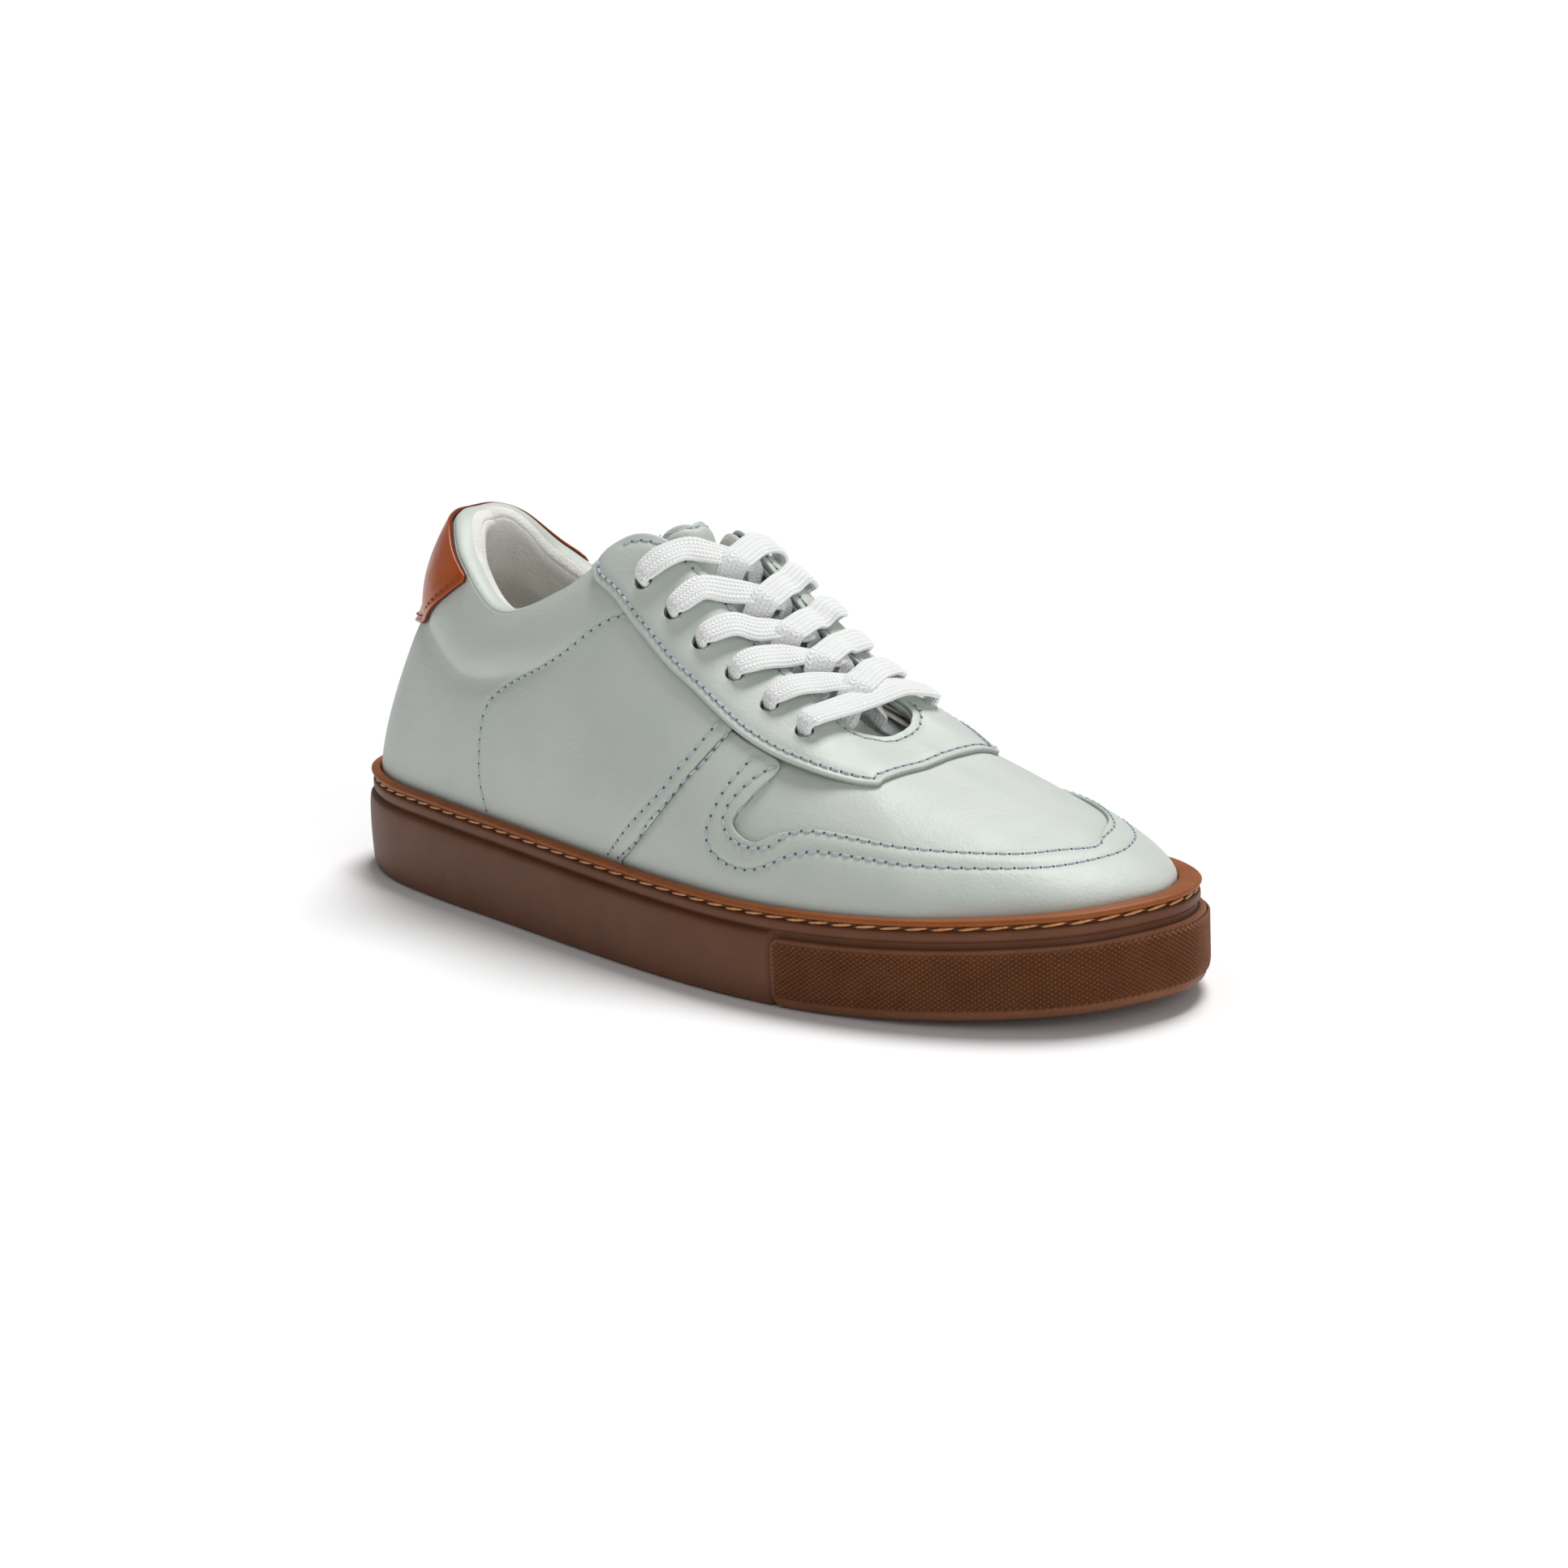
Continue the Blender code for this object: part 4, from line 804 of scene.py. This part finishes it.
# Heel tab. A patch of glossy tan leather over the closed back seam, stitched along its
# lower edge, which is darker where it was cut and burnished.
TAB_EDGE = [(0.0, 0.50), (1.0, 0.50), (2.0, 0.53), (2.7, 0.61), (3.1, 0.78), (3.3, 0.97)]
tan_leather = leather("glossy_tan_leather", ("#B04A0A", "#BC560F"), roughness=0.32, coat=0.1, grain=0.03)
tan_edge = cut_edge("burnished_tan_edge", ("#5A2408", "#7A3512"))
tab_low = [(-s, h) for s, h in reversed(TAB_EDGE[1:])] + TAB_EDGE
tab_top = [(s * 0.985, 1.0) for s, h in tab_low]
tab_u = np.linspace(0, len(tab_low) - 1, 150)
tab_grid_low, tab_grid_top = along(tab_low, tab_u)[:, None], along(tab_top, tab_u)[:, None]
tab_grid = tab_grid_low + (tab_grid_top - tab_grid_low) * np.linspace(0, 1, 50)[None, :, None]
tab_row, tab_faces = seam_line(tab_low, EYESTAY_DEPTH, count=800, inset=2.0 * MM)
tab = panel("heel_tab_patch", tab_grid, skin, EYESTAY_DEPTH, LEATHER, [tan_leather, tan_edge], [tab_row])
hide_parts("heel_tab")
tan_thread, tree, shader = start_material("tan_polyester_thread", Roughness=0.5)
where = add(tree, "ShaderNodeTexCoord").outputs["Object"]
mottle(tree, shader, where, 1.0 * MM, ("#7E3A12", "#96491A"))
spots, ways, facing = evenly(tab_row, 2.9 * MM, tab_faces)
repeat_on("heel_tab_stitches", stitches, spots, ways, facing,
                         {"Length": 2.3 * MM, "Width": 0.5 * MM, "Height": 0.5 * MM}, tan_thread, "shoe_body")


# Lining and collar. White knitted lining over foam, a leather binding rolled over the
# collar's top edge, and a plain lining inside the forefoot.
STIFFENER = 0.8 * MM
LINING = 0.8 * MM
COLLAR_PAD = 5.5 * MM
LINING_DEPTH = UNDERLAY + STIFFENER + LAYER_GAP
FORE_LINING = UNDERLAY + LEATHER + LAYER_GAP + STIFFENER + LAYER_GAP


def pad(s, h):
    """Thickness of the collar's padding: full round the heel, none at the instep."""
    near = np.minimum(s % ROUND, ROUND - s % ROUND)
    round_heel = np.clip((5.6 - near) / 1.2, 0, 1)
    up = np.clip((h - 0.5) / 0.25, 0, 1) * np.clip((1.08 - h) / 0.12, 0, 1)
    return COLLAR_PAD * round_heel * (up * up * (3 - 2 * up))


knit, tree, shader = start_material("white_knitted_lining", Roughness=0.9)
shader.inputs["Sheen Weight"].default_value = 0.25
where = add(tree, "ShaderNodeTexCoord").outputs["Object"]
mottle(tree, shader, where, 6 * MM, ("#E6E5DE", "#EFEEE8"))
loops = add(tree, "ShaderNodeTexVoronoi", {"Scale": 1 / (0.85 * MM)}, {"Vector": where})
relief(tree, shader, [(loops.outputs["Distance"], 0.16 * MM)])

LINING_END = 5.85
lining_s = np.linspace(-LINING_END, LINING_END, 260)[:, None]
lining_h = np.linspace(-0.9, 0.998, 80)[None, :]
grid = np.stack(np.broadcast_arrays(lining_s, lining_h), -1)
collar_lining = panel("collar_lining", grid, at_depth, lambda s, h: LINING_DEPTH + pad(s, h), LINING,
                      [knit, knit])
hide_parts("quarter_lining")

fore_s = np.linspace(6.02, ROUND - 6.02, 200)[:, None]
fore_h = np.linspace(-0.9, 0.96, 50)[None, :]
grid = np.stack(np.broadcast_arrays(fore_s, fore_h), -1)
fore_lining = panel("forefoot_lining", grid, at_depth, FORE_LINING, LINING, [knit, knit])
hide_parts("vamp_lining")

ROLL_END = 6.5
roll_s = np.linspace(-ROLL_END, ROLL_END, 420)
roll_angle = np.linspace(-0.35, np.pi + 0.8, 17)
outer_top = skin(roll_s, np.ones_like(roll_s), 0.15 * MM)
inner_top = at_depth(roll_s, np.ones_like(roll_s), LINING_DEPTH + pad(roll_s, 1.0) + LINING)
roll_up = unit(last(roll_s, np.ones_like(roll_s)) - last(roll_s, np.full_like(roll_s, 0.96)))
roll_up = unit(roll_up * 0.5 + np.array([0, 0, 0.5]))
roll_across = (outer_top - inner_top) / 2
roll_middle = (outer_top + inner_top) / 2
roll_height = np.minimum(np.linalg.norm(roll_across, axis=1), 1.9 * MM) * 0.9
roll = (roll_middle[:, None] + roll_across[:, None] * np.cos(roll_angle)[None, :, None]
        + (roll_up * roll_height[:, None])[:, None] * np.sin(roll_angle)[None, :, None])
roll_count = len(roll_angle)
roll_points = roll.reshape(-1, 3)
roll_faces = tube_faces(len(roll_s), roll_count)
roll_faces += [tuple(range(roll_count)), tuple((len(roll_s) - 1) * roll_count + j for j in range(roll_count))]
ROLLED = 7
roll_slots = [int(ROLLED < j) for j in list(range(roll_count)) * (len(roll_s) - 1)] + [0, 0]
binding = mesh_piece("collar_binding", roll_points, roll_faces, [white_leather, knit], roll_slots)
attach(binding, "shoe_body")


# Footbed. A moulded foam insole faced with a pale textile, slightly cupped at its edge.
footbed_face, tree, shader = start_material("brushed_textile_insole", Roughness=0.92)
where = add(tree, "ShaderNodeTexCoord").outputs["Object"]
mottle(tree, shader, where, 5 * MM, ("#CFCCC3", "#DEDBD3"))
nap = add(tree, "ShaderNodeTexNoise", {"Scale": 1 / (0.6 * MM), "Detail": 3.0}, {"Vector": where})
relief(tree, shader, [(nap.outputs["Fac"], 0.15 * MM)])
bed_s = stations(160)
FOOTBED_TOP = 4.7 * MM
FOOTBED = 5 * MM
BED_INSET = 6.6 * MM
BED_CUP = 1.2 * MM
bed_side = bed_s[:len(bed_s) // 2 + 1]
lateral_edge = ring(bed_side, lip_inset(bed_side) + BED_INSET, below_rim(FOOTBED_TOP))
medial_edge = ring(ROUND - bed_side, lip_inset(ROUND - bed_side) + BED_INSET, below_rim(FOOTBED_TOP))
bed_k = np.linspace(0, 1, 25)
bed_top = lateral_edge[:, None] * (1 - bed_k[None, :, None]) + medial_edge[:, None] * bed_k[None, :, None]
cupping = np.abs(2 * bed_k - 1) ** 4
bed_top[..., 2] += (cupping[None, :] - 1) * BED_CUP
bed_bottom = bed_top.copy()
bed_bottom[..., 2] = bed_top[..., 2] * 0 + (lateral_edge[:, None, 2] - FOOTBED)
bed_outside, bed_inside, bed_rim = sheet_faces(*bed_top.shape[:2])
insole = mesh_piece("footbed_insole", np.concatenate([bed_top.reshape(-1, 3), bed_bottom.reshape(-1, 3)]),
                    bed_outside + bed_inside + bed_rim, [footbed_face])
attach(insole, "shoe_body")
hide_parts("footbed")


# Tongue. Leather over foam with a knitted back, pinched and stitched to a thin edge all round, and sewn to the vamp at
# its base.
TONGUE_LINE = [(226, 48.5), (210, 56.5), (192, 62.5), (172, 73), (150, 88), (141.5, 97.5), (135.5, 110)]
TONGUE_HALF = [12, 15, 16, 16, 15, 13.5, 11.5]
TONGUE_SAG = [4, 10, 11, 10.5, 11.5, 10.5, 7]
TONGUE_STACK = 6.2 * MM
NOTCH = 2.2 * MM


def tongue_face(u, v):
    """The tongue's outside: u from its sewn base to its top, v across from -1 to 1."""
    t = u * (len(TONGUE_LINE) - 1)
    line = along(TONGUE_LINE, t)
    ahead = unit(along(TONGUE_LINE, t + 0.05) - along(TONGUE_LINE, t - 0.05))
    sag = along(TONGUE_SAG, t) * v ** 2
    x = line[..., 0] * MM - OUTSOLE_LENGTH / 2 - ahead[..., 1] * sag * MM
    z = line[..., 1] * MM + ahead[..., 0] * sag * MM
    return np.stack([x, along(TONGUE_HALF, t) * MM * v, z], -1)


tongue_u = np.linspace(0.0, 1.0, 90)
tongue_v = np.linspace(-1, 1, 61)
U, V = np.meshgrid(tongue_u, tongue_v, indexing="ij")
TOP_ROUND = 0.1
U = U - NOTCH / (130 * MM) * np.exp(-(V / 0.22) ** 2) * U ** 12
U = U - TOP_ROUND * np.abs(V) ** 5 * U ** 10
step = 0.01
face_way = unit(np.cross(tongue_face(U, V + step) - tongue_face(U, V - step),
                         tongue_face(np.minimum(U + step, 1), V) - tongue_face(np.maximum(U - step, 0), V)))
edge_gap = np.minimum((1 - np.abs(V)) * 21 * MM, (1 - tongue_u[:, None]) * 130 * MM)
puff = 1 - np.exp(-np.maximum(edge_gap - 2.6 * MM, 0) / (3.5 * MM))
base = tongue_face(U, V)
groove_dip = 0.35 * MM * np.exp(-((edge_gap - 3.0 * MM) / (0.9 * MM)) ** 2)
round_edge = 0.4 * MM * np.exp(-(edge_gap / (0.5 * MM)) ** 2)
front_side = base - face_way * (1.5 * MM * (1 - puff) + groove_dip + round_edge)[..., None]
back_side = base - face_way * (TONGUE_STACK * puff + 3.2 * MM * (1 - puff) - round_edge * 0.6)[..., None]
outside, inside, rim = sheet_faces(*U.shape)
slots = [0] * len(outside) + [1] * len(inside) + [2] * len(rim)
tongue = mesh_piece("tongue_pad", np.concatenate([front_side.reshape(-1, 3), back_side.reshape(-1, 3)]),
                    outside + inside + rim,
                    [white_leather, knit, white_edge], slots)
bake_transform(tongue)
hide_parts("tongue", "tongue_foam", "tongue_lining")
rim_u = np.concatenate([np.linspace(0.3, 0.955, 200), np.full(100, 0.972), np.linspace(0.955, 0.3, 200)])
rim_v = np.concatenate([np.full(200, -0.86), np.linspace(-0.83, 0.83, 100), np.full(200, 0.86)])
rim_faces = unit(np.cross(tongue_face(rim_u, rim_v + step) - tongue_face(rim_u, rim_v - step),
                          tongue_face(rim_u + step, rim_v) - tongue_face(rim_u - step, rim_v)))
rim_points = tongue_face(rim_u, rim_v) - rim_faces * 1.55 * MM


# Upper stitches. Fine pale blue-grey polyester thread, lock-stitched; each stitch sinks into a needle hole at both
# ends. The shade inside each hole is painted as a flat dark grey patch sunk just under the leather.
pale_thread, tree, shader = start_material("pale_polyester_thread", Roughness=0.6)
where = add(tree, "ShaderNodeTexCoord").outputs["Object"]
mottle(tree, shader, where, 1.2 * MM, ("#B4BECB", "#C6CFD9"))
# Painted shade: this dark grey stands in for the shade inside the needle holes.
painted_needle_hole_shade, tree, shader = start_material("painted_needle_hole_shade", Roughness=1.0)
where = add(tree, "ShaderNodeTexCoord").outputs["Object"]
mottle(tree, shader, where, 0.5 * MM, ("#4C565E", "#646F77"))
spots = np.concatenate(sewing["spots"])
ways = np.concatenate(sewing["ways"])
faces = np.concatenate(sewing["faces"])
repeat_on("upper_stitches", stitches, spots - faces * 0.12 * MM, ways, faces,
                           {"Length": 2.35 * MM, "Width": 0.6 * MM, "Height": 0.62 * MM}, pale_thread,
                           "shoe_body")
# Painted shade: a small dark patch at each needle hole, where shade would fall.
repeat_on("upper_painted_needle_hole_shades", stitches, spots + ways * 1.6 * MM - faces * 0.22 * MM, ways, faces,
                  {"Length": 0.8 * MM, "Width": 0.85 * MM, "Height": 0.22 * MM}, painted_needle_hole_shade,
                  "shoe_body")
spots, ways, facing = evenly(rim_points, 3.0 * MM, rim_faces)
repeat_on("tongue_stitches", stitches, spots, ways, facing,
                            {"Length": 2.3 * MM, "Width": 0.5 * MM, "Height": 0.5 * MM}, pale_thread,
                            "tongue_body")


# Lace. One flat woven cotton lace, 8 mm wide and soft, straight across at the toe end and
# criss-crossed up, down into every hole from outside, its ends tucked in beside the tongue.
LACE_WIDTH = 8 * MM
LACE_THICKNESS = 1.9 * MM
LACE_NECK = 4.0 * MM
SOLID_THICKNESS = 1.5 * MM
CLEARANCE = 0.3 * MM
SHIFT = 0.09
OVER_DEPTH = -(LEATHER + 2 * LAYER_GAP + CLEARANCE + SOLID_THICKNESS / 2)
UNDER_DEPTH = FORE_LINING + LINING + 2 * LAYER_GAP + SOLID_THICKNESS / 2
CROSS_RISE = SOLID_THICKNESS + 2 * CLEARANCE
TAIL = [(6.45, 0.70), (6.75, 0.58), (7.15, 0.46), (7.6, 0.37), (8.05, 0.31), (8.5, 0.28)]


def on_side(side, s):
    return np.array(s if side == "lateral" else ROUND - s)


def edge_near(number):
    """Station of the throat edge nearest to a hole."""
    s, h = HOLES[number]
    tries = np.linspace(s - 1.0, s + 1.0, 81)
    return tries[np.argmin(np.linalg.norm(last(tries, 1.0) - last(s, h), axis=-1))]


def lace_chain(first_side):
    """Knots of half the lace from the bar to its tip: point, face direction, width."""
    other = {"lateral": "medial", "medial": "lateral"}
    knots = []
    side = first_side
    facing = 1
    for number, (s, h) in enumerate(HOLES):
        here = on_side(side, s)
        axis = outward(here, h)
        edge = edge_near(number)
        over_edge = at_depth(on_side(side, edge + SHIFT), 1.0, OVER_DEPTH)
        middle = at_depth(here, h, 0)
        inwards = over_edge - middle
        inwards -= axis * (inwards @ axis)
        inwards = unit(inwards)
        if number > 0:
            knots.append((over_edge + axis * 0.4 * MM, facing * axis, LACE_WIDTH))
            half_way = at_depth(on_side(side, (s + edge + SHIFT) / 2), (1 + h) / 2, OVER_DEPTH - 1.2 * MM)
            knots.append((half_way, facing * axis, LACE_WIDTH))
        knots.append((middle + inwards * 3.2 * MM - axis * (OVER_DEPTH - 1.1 * MM), facing * axis,
                      LACE_WIDTH * 0.88))
        knots.append((middle - axis * (OVER_DEPTH - 0.3 * MM) + inwards * 0.5 * MM,
                      facing * (axis * 0.7 - inwards * 0.7), LACE_NECK * 1.25))
        knots.append((middle, -facing * inwards, LACE_NECK))
        knots.append((middle - axis * (UNDER_DEPTH - 1.6 * MM), -facing * inwards, LACE_NECK))
        knots.append((middle - axis * (UNDER_DEPTH + 0.2 * MM) + inwards * 1.2 * MM,
                      -facing * (inwards + axis) * 0.7, LACE_NECK))
        facing = -facing
        if number < len(HOLES) - 1:
            step_in = at_depth(on_side(side, s - SHIFT * 0.3), h + 0.07, UNDER_DEPTH + 0.3 * MM)
            knots.append((step_in, facing * axis, LACE_WIDTH * 0.75))
            low_edge = at_depth(on_side(side, edge - SHIFT), 1.0, UNDER_DEPTH + 0.4 * MM)
            far_side = other[side]
            far_edge = at_depth(on_side(far_side, edge - SHIFT), 1.0, OVER_DEPTH)
            way = unit(far_edge - low_edge)
            edge_axis = outward(on_side(side, edge - SHIFT), np.array(1.0))
            under_edge = at_depth(on_side(side, edge - SHIFT), 0.93, UNDER_DEPTH + 1.1 * MM)
            knots.append((under_edge, facing * edge_axis, LACE_WIDTH))
            knots.append((low_edge + way * 3.2 * MM, facing * edge_axis, LACE_WIDTH))
            knots.append((low_edge + way * 5.2 * MM + edge_axis * 3.4 * MM, facing * edge_axis, LACE_WIDTH))
            next_edge = edge_near(number + 1)
            target = at_depth(on_side(far_side, next_edge + SHIFT), 1.0, OVER_DEPTH)
            start = at_depth(on_side(side, edge - SHIFT), 1.0, OVER_DEPTH)
            crown = (start + target) / 2
            rise = CROSS_RISE if side == "lateral" else 0
            up = unit(edge_axis + outward(on_side(far_side, next_edge), np.array(1.0)))
            knots.append((start * 0.7 + target * 0.3 + up * (0.2 * MM + rise * 0.7), facing * up, LACE_WIDTH))
            knots.append((crown + up * (0.4 * MM + rise), facing * up, LACE_WIDTH))
            knots.append((start * 0.25 + target * 0.75 + up * (0.8 * MM + rise * 0.7), facing * up, LACE_WIDTH))
            side = far_side
    for s, h in TAIL:
        spot = on_side(side, s)
        knots.append((at_depth(spot, h, UNDER_DEPTH + 0.9 * MM), facing * outward(spot, np.array(h)),
                      LACE_WIDTH * (0.45 if (s, h) == TAIL[-1] else 0.9)))
    return knots


to_medial_tip = lace_chain("lateral")
to_lateral_tip = lace_chain("medial")
both_edges = [(side, edge_near(0)) for side in ("medial", "lateral")]
bar_ends = [at_depth(on_side(side, edge), 1.0, OVER_DEPTH - 0.6 * MM) for side, edge in both_edges]
bar_up = sum(outward(on_side(side, HOLES[0][0]), 0.9) for side, edge in both_edges) / 2
bar = [(bar_ends[0] * (1 - k) + bar_ends[1] * k, bar_up, LACE_WIDTH) for k in (0.1, 0.5, 0.9)]
flipped = [(point, facing, width) for point, facing, width in reversed(to_lateral_tip)]
knots = flipped + bar + to_medial_tip

cotton, tree, shader = start_material("flat_woven_cotton_lace", Roughness=0.85)
shader.inputs["Sheen Weight"].default_value = 0.3
shader.inputs["Subsurface Weight"].default_value = 0.1
shader.inputs["Subsurface Scale"].default_value = 1.0 * MM
RIB_WIDTH = 1.35 * MM
STITCH_LENGTH = 1.1 * MM
uv = add(tree, "ShaderNodeUVMap", uv_map="lace").outputs["UV"]
split = add(tree, "ShaderNodeSeparateXYZ", links={"Vector": uv})


def arithmetic(operation, *inputs):
    """One arithmetic node; each input is a number or a socket."""
    numbers = {place: item for place, item in enumerate(inputs) if isinstance(item, float)}
    sockets = {place: item for place, item in enumerate(inputs) if not isinstance(item, float)}
    return add(tree, "ShaderNodeMath", numbers, sockets, operation=operation).outputs["Value"]


TURN = 2 * np.pi
lengthways, crossways = split.outputs["X"], split.outputs["Y"]
lean = arithmetic("MULTIPLY", arithmetic("PINGPONG", crossways, RIB_WIDTH), 0.8)
turns = arithmetic("MULTIPLY", arithmetic("ADD", lengthways, lean), TURN / STITCH_LENGTH)
rib_turns = arithmetic("MULTIPLY", crossways, TURN / RIB_WIDTH)
both = arithmetic("ADD", arithmetic("SINE", turns), arithmetic("COSINE", rib_turns))
# The weave's height, used for the bump and also as painted shade in the base colour.
weave_height_and_painted_shade = add(tree, "ShaderNodeMapRange", {"From Min": -2.0, "From Max": 1.6}, {"Value": both})
# Painted shade: the base colour follows the weave's height. It is darker in the hollows between ribs and stitches and
# lighter on their crowns.
ramp = add(tree, "ShaderNodeValToRGB", links={"Fac": weave_height_and_painted_shade.outputs["Result"]})
for element, place, colour in zip(ramp.color_ramp.elements, (0.0, 0.75), ("#E8ECEA", "#FAFBFA")):
    element.position = place
    element.color = linear(colour)
tree.links.new(ramp.outputs["Color"], shader.inputs["Base Color"])
relief(tree, shader, [(weave_height_and_painted_shade.outputs["Result"], 0.28 * MM)])

middles = np.array([k[0] for k in knots])
faces_to = np.array([k[1] for k in knots])
widths = np.array([k[2] for k in knots])
rough_t = np.linspace(0, len(knots) - 1, 30 * len(knots))
rough = along(middles, rough_t)
rough_run = np.concatenate([[0], np.cumsum(np.linalg.norm(np.diff(rough, axis=0), axis=1))])
LACE_STEP = 0.9 * MM
t = np.interp(np.arange(0, rough_run[-1], LACE_STEP), rough_run, rough_t)
line = along(middles, t)
ahead = unit(along(middles, t + 0.1) - along(middles, t - 0.1))
across_way = unit(np.cross(ahead, along(faces_to, t)))
smooth = np.ones(5) / 5
across_way = unit(np.stack([
    np.convolve(np.pad(column, 2, "edge"), smooth, "valid") for column in across_way.T], -1))
face_to = unit(np.cross(across_way, ahead))
width = along(widths, t)
SECTION = 44
angle = np.linspace(0, 2 * np.pi, SECTION, endpoint=False)
round_x = np.sign(np.cos(angle)) * np.abs(np.cos(angle)) ** 0.75
round_y = np.sign(np.sin(angle)) * np.abs(np.sin(angle)) ** 0.6
rings = []
for k in range(len(t)):
    half = width[k] / 2
    swollen = LACE_THICKNESS / 2 * (1 + 0.5 * (1 - width[k] / LACE_WIDTH))
    ribs = 1 + 0.07 * np.cos(2 * np.pi * round_x * LACE_WIDTH / 2 / RIB_WIDTH)
    rings.append(line[k] + across_way[k] * (round_x * half)[:, None]
                 + face_to[k] * (round_y * swollen * ribs)[:, None])
rings = np.array(rings)
lace_faces = tube_faces(len(t), SECTION)
lace_faces += [tuple(range(SECTION)), tuple((len(t) - 1) * SECTION + j for j in range(SECTION))]
lace = mesh_piece("lace_ribbon", rings.reshape(-1, 3), lace_faces, [cotton])
layer = lace.data.uv_layers.new(name="lace")
vertex = np.zeros(len(lace.data.loops), np.int32)
lace.data.loops.foreach_get("vertex_index", vertex)
lengthwise = (vertex // SECTION) * LACE_STEP
sideways = round_x[vertex % SECTION] * LACE_WIDTH / 2 + LACE_WIDTH
layer.data.foreach_set("uv", np.stack([lengthwise, sideways], -1).astype(np.float32).ravel())
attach(lace, "shoe_body")
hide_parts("lace")


# Hidden pieces. Counter, toe puff, reinforcements, board, foams and lace tips keep their
# solid shapes, each with its own finish.
def plain_stock(name, colours, size, depth, roughness=0.9):
    """Sheet stock with a fibrous or cellular surface."""
    material, tree, shader = start_material(name, Roughness=roughness)
    where = add(tree, "ShaderNodeTexCoord").outputs["Object"]
    mottle(tree, shader, where, size * 4, colours)
    fibre = add(tree, "ShaderNodeTexNoise", {"Scale": 1 / size, "Detail": 5.0}, {"Vector": where})
    relief(tree, shader, [(fibre.outputs["Fac"], depth)])
    return material


fibre_board = plain_stock("pressed_fibre_board", ("#BDB8A8", "#CFCABB"), 0.8 * MM, 0.1 * MM)
non_woven = plain_stock("non_woven_tape", ("#C9C7C0", "#DAD8D2"), 0.5 * MM, 0.12 * MM)
open_foam = plain_stock("open_cell_foam", ("#C9BE9F", "#DCD2B6"), 0.9 * MM, 0.3 * MM)
clear_acetate = plain_stock("clear_acetate", ("#C8C8C6", "#DADAD8"), 2 * MM, 0.02 * MM, roughness=0.2)
stock = {
    "heel_counter": fibre_board, "toe_puff": fibre_board, "strobel_board": non_woven,
    "eyestay_reinforcement_lateral": non_woven, "eyestay_reinforcement_medial": non_woven,
    "midsole_foam": open_foam, "collar_padding": open_foam,
    "aglet_lateral": clear_acetate, "aglet_medial": clear_acetate,
}
for node, material in stock.items():
    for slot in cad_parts[node].material_slots:
        slot.material = material


# Studio: pale floor, soft light and the camera.
floor_paint, tree, shader = start_material("pale_studio_floor", Roughness=0.8)
where = add(tree, "ShaderNodeTexCoord").outputs["Object"]
mottle(tree, shader, where, 0.5, ("#FCFCFC", "#FDFDFD"))
FLOOR = 60.0
floor_mesh = bpy.data.meshes.new("floor")
floor_mesh.from_pydata([(-FLOOR, -FLOOR, 0), (FLOOR, -FLOOR, 0), (FLOOR, FLOOR, 0), (-FLOOR, FLOOR, 0)], [],
                       [(0, 1, 2, 3)])
floor_mesh.materials.append(floor_paint)
floor = bpy.data.objects.new("floor", floor_mesh)
bpy.context.scene.collection.objects.link(floor)

world = bpy.data.worlds.new("studio")
world.use_nodes = True
world.node_tree.nodes["Background"].inputs["Color"].default_value = linear("#FFFFFF")
world.node_tree.nodes["Background"].inputs["Strength"].default_value = 0.23
bpy.context.scene.world = world
bpy.context.scene.view_settings.view_transform = "Standard"


def sky_lamp(name, aim_from, energy, spread):
    """A far soft lamp shining from a direction."""
    light = bpy.data.lights.new(name, "SUN")
    light.energy = energy
    light.angle = np.radians(spread)
    lamp = bpy.data.objects.new(name, light)
    lamp.rotation_euler = Vector(aim_from).to_track_quat("Z", "Y").to_euler()
    bpy.context.scene.collection.objects.link(lamp)


sky_lamp("overhead", (-0.12, 0.42, 1.0), 2.65, 26)
sky_lamp("toe_side", (1.0, -0.3, 0.35), 0.75, 50)

EYE = Vector((0.8013, -0.7052, 0.2906))
AZIMUTH, ELEVATION, ROLL = np.radians([48.05, 13.31, -2.39])
back = Vector((np.sin(AZIMUTH) * np.cos(ELEVATION), -np.cos(AZIMUTH) * np.cos(ELEVATION), np.sin(ELEVATION)))
level = Vector((np.cos(AZIMUTH), np.sin(AZIMUTH), 0))
up = back.cross(level)
right = level * np.cos(ROLL) + up * np.sin(ROLL)
top = up * np.cos(ROLL) - level * np.sin(ROLL)
lens = bpy.data.cameras.new("camera")
lens.lens = 92.57
lens.sensor_width = 36
camera = bpy.data.objects.new("camera", lens)
bpy.context.scene.collection.objects.link(camera)
pose = camera.matrix_world.copy()
for row in range(3):
    pose[row][0], pose[row][1], pose[row][2], pose[row][3] = right[row], top[row], back[row], EYE[row]
camera.matrix_world = pose
bpy.context.scene.camera = camera
